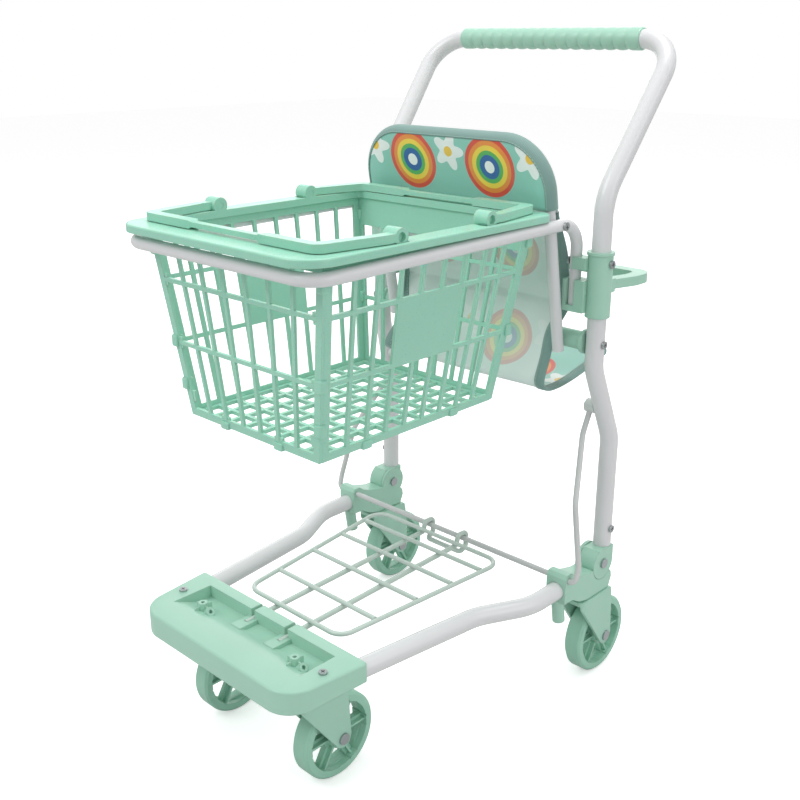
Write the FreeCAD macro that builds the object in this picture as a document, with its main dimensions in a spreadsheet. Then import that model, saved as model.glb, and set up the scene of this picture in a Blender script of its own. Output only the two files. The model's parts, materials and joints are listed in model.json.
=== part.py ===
"""Doll's shopping trolley: tubular frame, lift-out basket, doll seat and four swivel casters.

Axes: +Z is up, the trolley rolls towards -Y, +X is the left hand of whoever pushes it.
The origin is on the floor, midway between the front of the tray and the back of the grip.
All lengths are millimetres.
"""
import FreeCAD, Part
import Sketcher
import math
import os

from FreeCAD import Rotation, Vector

SIZES = {
    # tubes, wires and clearances
    "tube_dia": 16.0, "tube_wall": 1.2, "hoop_dia": 10.0, "stay_dia": 5.0, "rail_dia": 4.6,
    "rung_dia": 4.0, "fit_gap": 0.1, "run_gap": 0.3, "pin_gap": 0.05,
    # screws
    "screw_dia": 3.4, "screw_head_dia": 6.8, "screw_head_height": 1.8, "screw_length": 14.0,
    # casters
    "wheel_dia": 74.0, "wheel_width": 16.6, "rim_depth": 7.5, "web_thick": 4.0, "hub_dia": 20.0,
    "axle_dia": 6.0, "spoke_width": 9.0, "rib_thick": 2.0, "tyre_edge": 2.0,
    "fork_gap": 19.4, "fork_wall": 3.0, "fork_length": 46.0, "fork_top": 87.0, "fork_plate": 6.0,
    "caster_trail": 19.0, "axle_boss_dia": 17.0, "kingpin_dia": 8.0, "kingpin_grip": 9.0,
    "swivel_gap": 0.5, "front_track_half": 64.5, "front_pivot_y": -159.0,
    "rear_track_inset": 2.5, "rear_pivot_y": 115.0,
    # front tray
    "tray_front": -211.0, "tray_back": -137.0, "tray_half_front": 94.5, "tray_half_back": 103.5,
    "tray_top": 118.5, "tray_height": 20.0, "tray_rise": 4.0, "tray_corner": 26.0, "recess_half": 79.0,
    "recess_front": -187.0, "recess_back": -149.0, "recess_depth": 11.0, "tray_hollow": 6.0,
    "caster_boss_dia": 27.0, "post_dia": 8.0, "post_x": 58.5, "post_lean": 50.0,
    "post_y": -172.0, "post_height": 13.5, "rail_boss_width": 12.0, "rail_boss_length": 19.0,
    "tray_screw_x": 88.8, "tray_screw_y": -170.5,
    # lower side tubes
    "side_tube_z": 108.0, "side_front_x": 87.6, "side_front_y": -180.0, "side_mid_x": 109.5,
    "side_mid_y": -16.0, "side_flare_y": 29.0, "side_end_y": 82.0, "side_bend": 55.0,
    # rear brackets and knuckles
    "frame_half": 134.0, "bracket_inset": 1.5, "bracket_width": 20.0, "bracket_front": 65.0,
    "bracket_base": 87.5, "block_foot": 97.5, "block_top": 125.0, "block_back": 76.0,
    "web_top": 114.0, "barrel_dia": 30.5, "cheek_thick": 3.0, "stay_y": 70.0, "stay_z": 119.0,
    "hinge_y": 124.0, "hinge_z": 116.0, "hinge_pin_dia": 5.0, "knuckle_top": 130.0,
    "spigot_height": 24.0, "spigot_dia": 13.2, "peg_dia": 11.0, "peg_length": 24.0,
    # uprights, collars and bumper
    "upright_low_y": 133.0, "upper_half": 126.0, "upright_high_y": 113.2, "sway_low_z": 235.0, "sway_high_z": 300.0,
    "sway_bend": 45.0, "foot_screw_z": 147.5, "collar_low_z": 346.0, "collar_high_z": 401.0,
    "collar_wall": 2.5, "collar_lip": 1.0, "tube_joint_z": 374.0, "pocket_wall": 2.2,
    "pocket_low_z": 350.0, "pocket_high_z": 377.0, "guide_low_z": 386.0, "guide_high_z": 396.0,
    "collar_screw_z": 391.5,
    "bumper_top": 376.0, "bumper_height": 8.0, "bumper_width": 12.0, "bumper_half": 138.5,
    "bumper_front": 122.0, "bumper_back": 179.0, "bumper_corner": 15.0,
    # handle
    "handle_bend_z": 446.0, "handle_top_half": 131.5, "handle_low_bend": 50.0, "handle_top_bend": 33.0,
    "grip_y": 201.5, "grip_z": 565.5, "grip_dia": 18.8, "grip_half": 98.0, "groove_depth": 1.5,
    "groove_dia": 10.0, "groove_pitch": 12.0,
    # stay wire and its clips
    "stay_out_x": 149.0, "stay_knee_y": 81.0, "stay_knee_z": 186.0, "stay_knee_x": 137.0,
    "clip_dia": 12.0, "clip_thick": 8.0, "clip_z": 262.0,
    # lower rack
    "rail_x": 21.0, "rail_front_y": -157.0, "rack_front_z": 114.8, "rack_back_z": 118.6, "rack_front": -124.0,
    "rack_back": 57.0, "rack_half_front": 58.0, "rack_half_back": 77.5, "rack_corner": 14.0,
    "loop_y": 67.0, "loop_z": 105.0,
    # basket
    "floor_z": 280.0, "rim_lip": 6.0, "rim_top": 435.5, "rim_half": 110.5,
    "rim_front": -193.5, "rim_back": 68.5, "rim_front_corner": 26.0, "rim_back_corner": 12.0,
    "mouth_half": 94.0, "mouth_front": -164.0, "mouth_back": 51.0, "mouth_corner": 4.0,
    "top_half": 99.4, "top_front": -169.7, "top_back": 55.6,
    "floor_half": 76.0, "floor_front": -157.0, "floor_back": 38.0, "wall_thick": 2.4,
    "floor_thick": 3.0, "lattice_bar": 3.4, "lattice_post": 6.5, "low_rail_z": 340.5, "high_rail_z": 390.5,
    "label_front": -108.0, "label_back": -4.0, "back_band_z": 405.0, "tab_size": 9.0,
    "tab_thick": 2.0, "tab_half": 32.0,
    # bails
    "front_bail_y": -104.0, "rear_bail_y": -7.0, "front_bail_arm": 66.0, "rear_bail_arm": 62.0,
    "bail_rise": 3.7, "bail_width": 9.0, "bail_height": 6.2, "bail_half": 107.0,
    "bail_tip_half": 98.0, "bail_knuckle_dia": 13.0, "bail_pin_dia": 5.0, "lug_width": 4.0,
    "bail_corner": 10.0,
    # hoop
    "hoop_drop": 11.2, "hoop_fall": 3.5, "hoop_front": -184.0, "hoop_front_half": 105.5, "hoop_back_half": 106.7,
    "hoop_leg_y": 106.0, "hoop_corner": 18.0, "hoop_drop_bend": 22.0, "hoop_foot_z": 353.0,
    # doll seat
    "seat_leg_half": 96.5, "seat_leg_foot_z": 313.0, "seat_bar_z": 322.5, "seat_bar_dia": 16.0,
    "seat_hoop_y": 81.0, "seat_top_z": 487.0, "seat_bend": 38.0, "cloth_thick": 1.2,
    "sleeve_low_z": 436.5, "sling_half": 96.0, "sling_fold_y": 73.5, "sling_fold_z": 284.5,
    "sling_low_y": 103.5, "sling_low_z": 278.0, "sling_back_y": 168.0, "sling_back_z": 302.0,
}

doc = FreeCAD.newDocument("DollTrolley")
sheet = doc.addObject("Spreadsheet::Sheet", "Sizes")


class Size:
    """A length that carries its value and the spreadsheet expression it comes from."""

    def __init__(self, value, text):
        self.value = float(value)
        self.text = text

    def __add__(self, other):
        other = as_size(other)
        return Size(self.value + other.value, f"({self.text} + {other.text})")

    def __sub__(self, other):
        other = as_size(other)
        return Size(self.value - other.value, f"({self.text} - {other.text})")

    def __mul__(self, other):
        other = as_size(other)
        return Size(self.value * other.value, f"({self.text} * {other.text})")

    def __truediv__(self, other):
        other = as_size(other)
        return Size(self.value / other.value, f"({self.text} / {other.text})")

    def __radd__(self, other):
        return as_size(other) + self

    def __rsub__(self, other):
        return as_size(other) - self

    def __rmul__(self, other):
        return as_size(other) * self

    def __neg__(self):
        return as_size(0.0) - self


def as_size(item):
    """Wrap a bare number so that it can be mixed with sizes from the sheet."""
    return item if isinstance(item, Size) else Size(item, f"({float(item)!r})")


class SheetSizes:
    """Every alias of the sheet as an attribute."""


S = SheetSizes()
for row, (alias, number) in enumerate(SIZES.items(), start=1):
    sheet.set(f"A{row}", alias)
    sheet.set(f"B{row}", str(number))
    sheet.setAlias(f"B{row}", alias)
    setattr(S, alias, Size(number, f"Sizes.{alias}"))
doc.recompute()

# brackets and rear casters stand under the uprights, the rim carries the bails and rests on the hoop
S.bracket_half = S.frame_half - S.bracket_inset
S.rear_track_half = S.frame_half - S.rear_track_inset
S.wall_top_z = S.rim_top - S.rim_lip
S.bail_axis_z = S.rim_top + S.bail_rise
S.hoop_z = S.rim_top - S.hoop_drop
S.hoop_front_z = S.hoop_z - S.hoop_fall

subparts = []


def keep(obj, label):
    """Name a finished sub-part; its label is also the name of its file."""
    obj.Label = label
    subparts.append(obj)
    return obj


def bind(obj, prop, size):
    obj.setExpression(prop, as_size(size).text)


def place(obj, x=0.0, y=0.0, z=0.0, turn=None):
    """Bind an object's position to the sheet, with an optional fixed rotation."""
    if turn is not None:
        obj.Placement = FreeCAD.Placement(Vector(0, 0, 0), turn)
    for axis, size in zip("xyz", (x, y, z)):
        bind(obj, f"Placement.Base.{axis}", size)


# ---------------------------------------------------------------- Part primitives and booleans
TURNS = {
    "x": Rotation(Vector(0, 1, 0), 90),
    "y": Rotation(Vector(1, 0, 0), -90),
    "z": Rotation(),
}


def box(name, x, y, z):
    """A box from three (low, high) pairs of sizes."""
    obj = doc.addObject("Part::Box", name)
    for prop, (low, high) in zip(("Length", "Width", "Height"), (x, y, z)):
        bind(obj, prop, as_size(high) - low)
    place(obj, x[0], y[0], z[0])
    return obj


def rod(name, dia, start, length, axis="z"):
    """A cylinder that runs from start along +X, +Y or +Z."""
    obj = doc.addObject("Part::Cylinder", name)
    bind(obj, "Radius", as_size(dia) / 2)
    bind(obj, "Height", length)
    place(obj, *start, turn=TURNS[axis])
    return obj


def fuse(name, shapes):
    obj = doc.addObject("Part::MultiFuse", name)
    obj.Shapes = shapes
    obj.Refine = True
    return obj


def cut(name, base, tools):
    obj = doc.addObject("Part::Cut", name)
    obj.Base = base
    obj.Tool = tools[0] if len(tools) == 1 else fuse(name + "Tools", tools)
    obj.Refine = True
    return obj


def mirrored(name, source):
    """The right-hand twin of a left-hand piece."""
    obj = doc.addObject("Part::Mirroring", name)
    obj.Source = source
    obj.Normal = Vector(1, 0, 0)
    return obj


def solid(name, shape):
    """A free-form piece, made from sizes of the sheet."""
    obj = doc.addObject("Part::Feature", name)
    obj.Shape = shape
    return obj


# ---------------------------------------------------------------- PartDesign helpers
def origin_item(body, role):
    for item in body.Origin.OriginFeatures:
        if item.Role == role:
            return item
    raise ValueError(role)


def sketch_on(body, name, plane, offset=0.0):
    sketch = body.newObject("Sketcher::SketchObject", name)
    sketch.AttachmentSupport = [(origin_item(body, plane), "")]
    sketch.MapMode = "FlatFace"
    bind(sketch, "AttachmentOffset.Base.z", offset)
    return sketch


def draw_polygon(sketch, points):
    """A closed outline whose corners are bound to the sheet."""
    corners = [(as_size(x), as_size(y)) for x, y in points]
    ends = [Vector(x.value, y.value, 0) for x, y in corners]
    count = len(corners)
    sides = [Part.LineSegment(ends[i], ends[(i + 1) % count]) for i in range(count)]
    first = sketch.addGeometry(sides, False)[0]
    rules = []
    for i in range(count):
        rules.append(Sketcher.Constraint("Coincident", first + i, 2, first + (i + 1) % count, 1))
    for i, (x, y) in enumerate(corners):
        rules.append(Sketcher.Constraint("DistanceX", first + i, 1, x.value))
        rules.append(Sketcher.Constraint("DistanceY", first + i, 1, y.value))
    start = sketch.ConstraintCount
    sketch.addConstraint(rules)
    for i, (x, y) in enumerate(corners):
        sketch.setExpression(f"Constraints[{start + count + 2 * i}]", x.text)
        sketch.setExpression(f"Constraints[{start + count + 2 * i + 1}]", y.text)


def draw_circle(sketch, x, y, dia):
    x, y, radius = as_size(x), as_size(y), as_size(dia) / 2
    circle = Part.Circle(Vector(x.value, y.value, 0), Vector(0, 0, 1), radius.value)
    ring = sketch.addGeometry(circle, False)
    start = sketch.ConstraintCount
    sketch.addConstraint([Sketcher.Constraint("DistanceX", ring, 3, x.value),
                          Sketcher.Constraint("DistanceY", ring, 3, y.value),
                          Sketcher.Constraint("Radius", ring, radius.value)])
    for i, size in enumerate((x, y, radius)):
        sketch.setExpression(f"Constraints[{start + i}]", size.text)


def extrude(body, kind, name, sketch, length, both=False, flip=False):
    """A Pad or Pocket of a sketch by a bound length."""
    feature = body.newObject(f"PartDesign::{kind}", name)
    feature.Profile = sketch
    feature.Type = "Length"
    bind(feature, "Length", length)
    feature.Midplane = both
    feature.Reversed = flip
    doc.recompute()
    return feature


def fillet(body, name, radius, wanted):
    """Round the edges of the body's tip for which wanted(edge) is true."""
    tip = body.Tip
    edges = [f"Edge{i}" for i, edge in enumerate(tip.Shape.Edges, start=1) if wanted(edge)]
    feature = body.newObject("PartDesign::Fillet", name)
    feature.Base = (tip, edges)
    bind(feature, "Radius", radius)
    doc.recompute()
    return feature


def is_upright(edge):
    """True for a straight edge parallel to Z."""
    ends = [vertex.Point for vertex in edge.Vertexes]
    return len(ends) == 2 and abs((ends[1] - ends[0]).normalize().z) > 0.999


def around(body, name, feature, axis, count):
    pattern = body.newObject("PartDesign::PolarPattern", name)
    pattern.Originals = [feature]
    pattern.Axis = (origin_item(body, axis), [""])
    pattern.Angle = 360
    pattern.Occurrences = count
    body.Tip = pattern
    doc.recompute()
    return pattern


# ---------------------------------------------------------------- bent tubes and wires
def bent_path(corners, bends, closed=False):
    """Straight runs through the corners, joined by tangent arcs of the given radii."""
    count = len(corners)
    if closed:
        turning = range(count)
    else:
        turning = range(1, count - 1)
    arcs = {}
    for i in turning:
        corner = corners[i]
        back = (corners[i - 1] - corner).normalize()
        ahead = (corners[(i + 1) % count] - corner).normalize()
        half = back.getAngle(ahead) / 2
        reach = bends[i] / math.tan(half)
        centre = corner + (back + ahead).normalize() * (bends[i] / math.sin(half))
        middle = centre + (corner - centre).normalize() * bends[i]
        arcs[i] = (corner + back * reach, middle, corner + ahead * reach)
    edges = []
    spans = count if closed else count - 1
    for i in range(spans):
        following = (i + 1) % count
        start = arcs[i][2] if i in arcs else corners[i]
        end = arcs[following][0] if following in arcs else corners[following]
        if start.distanceToPoint(end) > 1e-6:
            edges.append(Part.LineSegment(start, end).toShape())
        if following in arcs:
            edges.append(Part.Arc(*arcs[following]).toShape())
    return Part.Wire(edges)


def sweep(path, dia):
    """A round bar of the given diameter along a path."""
    edge = path.OrderedEdges[0]
    start = edge.valueAt(edge.FirstParameter)
    heading = edge.tangentAt(edge.FirstParameter)
    ring = Part.Wire([Part.makeCircle(dia / 2, start, heading)])
    return path.makePipeShell([ring], True, False)


def tube(path, dia, wall):
    """A hollow round tube along a path."""
    return sweep(path, dia).cut(sweep(path, dia - 2 * wall))


def at(x, y, z):
    """A point from sizes or numbers."""
    return Vector(*(as_size(item).value for item in (x, y, z)))


def flipped(point):
    return Vector(-point.x, point.y, point.z)


# ---------------------------------------------------------------- wheels, axles and forks
def make_wheel(label, x, y):
    """One moulded wheel: rim, web with six windows, stiffening ribs and a plain hub."""
    body = doc.addObject("PartDesign::Body", label)
    half = S.wheel_width / 2
    outer = S.wheel_dia / 2
    inner = outer - S.rim_depth
    profile = sketch_on(body, label + "Profile", "XY_Plane")
    bore = S.axle_dia / 2 + S.pin_gap
    draw_polygon(profile, [
        (-half, bore), (half, bore), (half, S.hub_dia / 2), (S.web_thick / 2, S.hub_dia / 2),
        (S.web_thick / 2, inner), (half, inner), (half, outer - S.tyre_edge),
        (half - S.tyre_edge, outer), (-half + S.tyre_edge, outer), (-half, outer - S.tyre_edge),
        (-half, inner), (-S.web_thick / 2, inner), (-S.web_thick / 2, S.hub_dia / 2),
        (-half, S.hub_dia / 2)])
    turned = body.newObject("PartDesign::Revolution", label + "Turned")
    turned.Profile = profile
    turned.ReferenceAxis = (profile, ["H_Axis"])
    turned.Angle = 360
    doc.recompute()
    slope = math.tan(math.radians(30))
    low = S.hub_dia / 2 + 2.5
    high = inner - 1.5
    reach = S.spoke_width / 2
    window = sketch_on(body, label + "Window", "YZ_Plane")
    draw_polygon(window, [
        (reach - low * slope, low), (low * slope - reach, low),
        (high * slope - reach, high), (reach - high * slope, high)])
    opening = extrude(body, "Pocket", label + "Opening", window, S.wheel_width, both=True)
    around(body, label + "Openings", opening, "X_Axis", 6)
    rib = sketch_on(body, label + "Rib", "YZ_Plane")
    tilt = math.radians(30)
    sides = []
    for along, across in ((low - 3.0, -1), (inner + 0.5, -1), (inner + 0.5, 1), (low - 3.0, 1)):
        step = S.rib_thick / 2 * across
        sides.append((along * math.sin(tilt) + step * math.cos(tilt),
                      along * math.cos(tilt) - step * math.sin(tilt)))
    draw_polygon(rib, sides)
    fin = extrude(body, "Pad", label + "Fin", rib, S.wheel_width - 5.0, both=True)
    around(body, label + "Fins", fin, "X_Axis", 6)
    place(body, x, y, S.wheel_dia / 2)
    return keep(body, label)


def make_axle(label, x, y):
    """The axle pin with a round head outside each fork cheek."""
    width = S.fork_gap + 2 * S.fork_wall
    head = 1.6
    centre = S.wheel_dia / 2
    shaft = rod(label + "Shaft", S.axle_dia, (x - width / 2, y, centre), width, "x")
    ends = [rod(label + "HeadA", S.axle_dia + 4, (x - width / 2 - head, y, centre), head, "x"),
            rod(label + "HeadB", S.axle_dia + 4, (x + width / 2, y, centre), head, "x")]
    return keep(fuse(label, [shaft] + ends), label)


def make_fork(label, x, y):
    """A trailing fork: a flat top plate and two tapered cheeks that end round the axle."""
    body = doc.addObject("PartDesign::Body", label)
    width = S.fork_gap + 2 * S.fork_wall
    axle_z = S.wheel_dia / 2
    boss = S.axle_boss_dia / 2
    front = -(S.fork_length / 2)
    side = sketch_on(body, label + "Side", "YZ_Plane")
    draw_polygon(side, [
        (front, S.fork_top), (-front, S.fork_top), (-front + 1.5, S.fork_top - S.fork_plate),
        (S.caster_trail + boss, axle_z + 1.0), (S.caster_trail + boss * 0.7, axle_z - boss * 0.72),
        (S.caster_trail, axle_z - boss), (S.caster_trail - boss * 0.7, axle_z - boss * 0.72),
        (front, S.fork_top - S.fork_plate)])
    extrude(body, "Pad", label + "Block", side, width, both=True)
    slot = sketch_on(body, label + "Slot", "YZ_Plane")
    under = S.fork_top - S.fork_plate + 2.0
    draw_polygon(slot, [(front - 5.0, 0.0), (-front + 15.0, 0.0), (-front + 15.0, under),
                        (front - 5.0, under)])
    extrude(body, "Pocket", label + "Gap", slot, S.fork_gap, both=True)
    fillet(body, label + "Corners", 6.0, lambda edge: is_upright(edge)
           and abs(abs(edge.Vertexes[0].X) - width.value / 2) < 0.01
           and edge.BoundBox.ZMax > S.fork_top.value - 0.01)
    bore = sketch_on(body, label + "AxleBore", "YZ_Plane")
    draw_circle(bore, S.caster_trail, axle_z, S.axle_dia + 2 * S.pin_gap)
    extrude(body, "Pocket", label + "AxleHole", bore, 2 * width, both=True)
    king = sketch_on(body, label + "KingBore", "XY_Plane", S.fork_top)
    draw_circle(king, 0.0, 0.0, S.kingpin_dia + 2 * S.pin_gap)
    extrude(body, "Pocket", label + "KingHole", king, S.fork_plate + 2.0)
    place(body, x, y, 0.0)
    return keep(body, label)


def make_kingpin(label, x, y):
    """The swivel pin: fixed above the fork, with its head under the fork plate."""
    head = 1.6
    under = S.fork_top - S.fork_plate + 2.0 - S.run_gap
    shank = rod(label + "Shank", S.kingpin_dia, (x, y, under), S.fork_top + S.kingpin_grip - under)
    foot = rod(label + "Foot", S.kingpin_dia + 5, (x, y, under - head), head)
    return keep(fuse(label, [shank, foot]), label)


CASTERS = {
    "front_left": (S.front_track_half, S.front_pivot_y),
    "front_right": (-S.front_track_half, S.front_pivot_y),
    "rear_left": (S.rear_track_half, S.rear_pivot_y),
    "rear_right": (-S.rear_track_half, S.rear_pivot_y),
}
for corner_name, (pivot_x, pivot_y) in CASTERS.items():
    make_fork(f"fork_{corner_name}", pivot_x, pivot_y)
    make_kingpin(f"kingpin_{corner_name}", pivot_x, pivot_y)
    make_wheel(f"wheel_{corner_name}", pivot_x, pivot_y + S.caster_trail)
    make_axle(f"axle_{corner_name}", pivot_x, pivot_y + S.caster_trail)


# ---------------------------------------------------------------- screws
BORES = {"x": Vector(1, 0, 0), "y": Vector(0, 1, 0), "z": Vector(0, 0, 1)}


def make_screws(label, places):
    """Identical pan-head screws; each place is (x, y, z, axis, sign) of the head's seat."""
    pieces = []
    for i, (x, y, z, axis, sign) in enumerate(places):
        seat = {"x": as_size(x), "y": as_size(y), "z": as_size(z)}
        shank = dict(seat)
        head = dict(seat)
        if sign > 0:
            head[axis] = seat[axis] - S.screw_head_height
        else:
            shank[axis] = seat[axis] - S.screw_length
        pieces.append(rod(f"{label}Shank{i}", S.screw_dia, shank.values(), S.screw_length, axis))
        pieces.append(rod(f"{label}Head{i}", S.screw_head_dia, head.values(),
                          S.screw_head_height, axis))
    return keep(fuse(label, pieces), label)


def drill(name, x, y, z, axis, sign, dia=None):
    """The hole that one of those screws sits in."""
    dia = S.screw_dia + 2 * S.fit_gap if dia is None else dia
    seat = {"x": as_size(x), "y": as_size(y), "z": as_size(z)}
    reach = S.screw_length + 2 * S.fit_gap
    seat[axis] = seat[axis] - (S.fit_gap if sign > 0 else reach - S.fit_gap)
    return rod(name, dia, seat.values(), reach, axis)


def bore(x, y, z, axis, sign):
    """The same hole as a plain shape, for the bent tubes."""
    radius = S.screw_dia.value / 2 + S.fit_gap.value
    way = BORES[axis] * sign
    start = at(x, y, z) - way * S.fit_gap.value
    return Part.makeCylinder(radius, S.screw_length.value + 2 * S.fit_gap.value, start, way)


tube_radius = S.tube_dia / 2
clip_share = (S.clip_z - S.sway_low_z) / (S.sway_high_z - S.sway_low_z)
clip_y = S.upright_low_y + (S.upright_high_y - S.upright_low_y) * clip_share
clip_x = S.frame_half + (S.upper_half - S.frame_half) * clip_share - tube_radius - S.clip_thick
FOOT_SCREW = (S.frame_half + tube_radius, S.upright_low_y, S.foot_screw_z, "x", -1)
CLIP_SCREW = (clip_x, clip_y, S.clip_z, "x", 1)
SEAT_SCREW = (S.upper_half + tube_radius, S.upright_high_y, S.seat_bar_z, "x", -1)
COLLAR_SCREW = (S.upper_half + tube_radius + S.collar_wall, S.upright_high_y, S.collar_screw_z,
                "x", -1)
LEG_SCREW = (S.hoop_back_half - S.hoop_dia / 2, S.hoop_leg_y, S.collar_screw_z, "x", 1)
hoop_share = (S.hoop_leg_y - S.seat_hoop_y) / (S.hoop_leg_y - S.hoop_front)
HOOP_SCREW = (S.hoop_back_half + S.hoop_dia / 2, S.seat_hoop_y,
              S.hoop_z - (S.hoop_z - S.hoop_front_z) * hoop_share, "x", -1)
TRAY_SCREW = (S.tray_screw_x, S.tray_screw_y, S.tray_top, "z", -1)


def both_sides(place_left):
    """A screw place and its twin on the other side."""
    x, y, z, axis, sign = place_left
    return [place_left, (-as_size(x), y, z, axis, -sign if axis == "x" else sign)]


make_screws("upright_screws", both_sides(FOOT_SCREW) + both_sides(CLIP_SCREW)
            + both_sides(SEAT_SCREW))
make_screws("collar_screws", both_sides(COLLAR_SCREW) + both_sides(LEG_SCREW))
make_screws("hoop_screws", both_sides(HOOP_SCREW))
make_screws("tray_screws", both_sides(TRAY_SCREW))

# ---------------------------------------------------------------- front tray
half_depth = (S.tray_front + S.tray_back) / 2
body = doc.addObject("PartDesign::Body", "TrayShell")
plan = sketch_on(body, "TrayPlan", "XY_Plane", S.tray_top - S.tray_height)
draw_polygon(plan, [(-S.tray_half_front, S.tray_front), (S.tray_half_front, S.tray_front),
                    (S.tray_half_back, S.tray_back), (-S.tray_half_back, S.tray_back)])
extrude(body, "Pad", "TrayBlock", plan, S.tray_height)
fillet(body, "TrayCorners", S.tray_corner, lambda edge: is_upright(edge)
       and edge.BoundBox.YMax < S.tray_front.value + 1)
fillet(body, "TrayBackCorners", 3.0, lambda edge: is_upright(edge)
       and edge.BoundBox.YMin > S.tray_back.value - 1)
fillet(body, "TrayTopEdge", 2.0, lambda edge: edge.BoundBox.ZMin > S.tray_top.value - 0.01)
scoop = sketch_on(body, "TrayScoop", "YZ_Plane")
floor_level = S.tray_top - S.recess_depth
draw_polygon(scoop, [(S.recess_back, S.tray_top + 2), (S.recess_back, floor_level),
                     (S.recess_back - 12, floor_level), (S.recess_front, S.tray_top),
                     (S.recess_front, S.tray_top + 2)])
extrude(body, "Pocket", "TrayRecess", scoop, 2 * S.recess_half, both=True)
hollow = sketch_on(body, "TrayHollowPlan", "XY_Plane", S.tray_top - S.tray_height)
inner_x = S.front_track_half - S.caster_boss_dia / 2 - 3
draw_polygon(hollow, [(-inner_x, S.tray_front + 4), (inner_x, S.tray_front + 4),
                      (inner_x, S.tray_back - 4), (-inner_x, S.tray_back - 4)])
extrude(body, "Pocket", "TrayHollow", hollow, S.tray_hollow, flip=True)
slope = sketch_on(body, "TraySlope", "YZ_Plane")
underside = S.tray_top - S.tray_height
draw_polygon(slope, [(S.tray_front, underside), (S.tray_back + 1, underside - 1),
                     (S.tray_back + 1, underside + S.tray_rise)])
extrude(body, "Pocket", "TraySlopeCut", slope, 3 * S.tray_half_back, both=True)
tray_adds = [body]
tray_cuts = []
rack_tilt = math.atan2((S.rack_back_z - S.rack_front_z).value, (S.rack_back - S.rack_front).value)
rack_slope = (S.rack_back_z - S.rack_front_z) / (S.rack_back - S.rack_front)
rail_drop = (S.rail_dia + S.rung_dia) / 2 / math.cos(rack_tilt)


def rail_z(y):
    """Height of the rails' axis, just under the tilted plane of the rungs."""
    return S.rack_front_z + rack_slope * (as_size(y) - S.rack_front) - rail_drop


for side, sign in (("Left", 1), ("Right", -1)):
    centre = sign * S.front_track_half
    boss_foot = S.fork_top + S.swivel_gap
    tray_adds.append(rod("CasterBoss" + side, S.caster_boss_dia, (centre, S.front_pivot_y, boss_foot),
                         floor_level - boss_foot))
    tray_cuts.append(rod("KingBore" + side, S.kingpin_dia + 2 * S.pin_gap,
                         (centre, S.front_pivot_y, boss_foot - 1),
                         S.kingpin_grip - S.swivel_gap + 1.2))
    for i, angle in enumerate((0.0, math.radians(S.post_lean.value))):
        foot = (sign * S.post_x, S.post_y, floor_level - 1)
        tip = S.post_height - 3
        blind = (foot[0] + tip * math.sin(angle), foot[1], foot[2] + tip * math.cos(angle))
        lean = Rotation(Vector(0, 1, 0), math.degrees(angle))
        for name, dia, length, start, pile in (
                ("Post", S.post_dia, S.post_height, foot, tray_adds),
                ("PostHole", 0.4 * S.post_dia, 5.0, blind, tray_cuts)):
            peg = doc.addObject("Part::Cylinder", f"{name}{i}{side}")
            bind(peg, "Radius", dia / 2)
            bind(peg, "Height", length)
            place(peg, *start, turn=lean)
            pile.append(peg)
    rail = sign * S.rail_x
    half_boss = S.rail_boss_width / 2
    tray_adds.append(box("RailBoss" + side, (rail - half_boss, rail + half_boss),
                         (S.recess_back - S.rail_boss_length, S.recess_back + 1),
                         (floor_level - 1, rail_z(S.rail_front_y) + 1.2)))
    tray_cuts.append(box("RailSlot" + side, (rail - S.rail_dia / 2 + 0.4, rail + S.rail_dia / 2 - 0.4),
                         (S.rail_front_y + 2, S.tray_back + 1), (rail_z(S.tray_back), S.tray_top + 1)))
    groove = doc.addObject("Part::Cylinder", "RailGroove" + side)
    bind(groove, "Radius", S.rail_dia / 2 + S.fit_gap)
    bind(groove, "Height", S.tray_back - S.rail_front_y + 5)
    place(groove, rail, S.rail_front_y - S.fit_gap, rail_z(S.rail_front_y - S.fit_gap),
          turn=Rotation(Vector(1, 0, 0), math.degrees(rack_tilt) - 90))
    tray_cuts.append(groove)
    start = (sign * S.side_front_x, S.side_front_y - 0.2, S.side_tube_z)
    run = math.atan2((S.side_mid_x - S.side_front_x).value, (S.side_mid_y - S.side_front_y).value)
    heading = Rotation(Vector(0, 0, 1), -sign * math.degrees(run)) * TURNS["y"]
    channel = doc.addObject("Part::Cylinder", "TubeChannel" + side)
    bind(channel, "Radius", S.tube_dia / 2 + S.fit_gap)
    bind(channel, "Height", (S.tray_back - S.side_front_y) * 1.1 + 5)
    place(channel, *start, turn=heading)
    tray_cuts.append(channel)
for i, spot in enumerate(both_sides(TRAY_SCREW)):
    tray_cuts.append(drill(f"TrayScrewHole{i}", *spot))
tray_solid = fuse("TraySolid", tray_adds)
keep(cut("front_tray", tray_solid, tray_cuts), "front_tray")

# ---------------------------------------------------------------- lower side tubes
left_run = [at(S.side_front_x, S.side_front_y, S.side_tube_z),
            at(S.side_mid_x, S.side_mid_y, S.side_tube_z),
            at(S.bracket_half, S.side_flare_y, S.side_tube_z),
            at(S.bracket_half, S.side_end_y, S.side_tube_z)]
side_bend = S.side_bend.value
path = bent_path(left_run, [0, side_bend, side_bend, 0])
side_tube = tube(path, S.tube_dia.value, S.tube_wall.value).cut(bore(*TRAY_SCREW))
left = keep(solid("side_tube_left", side_tube), "side_tube_left")
keep(mirrored("side_tube_right", left), "side_tube_right")

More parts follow.
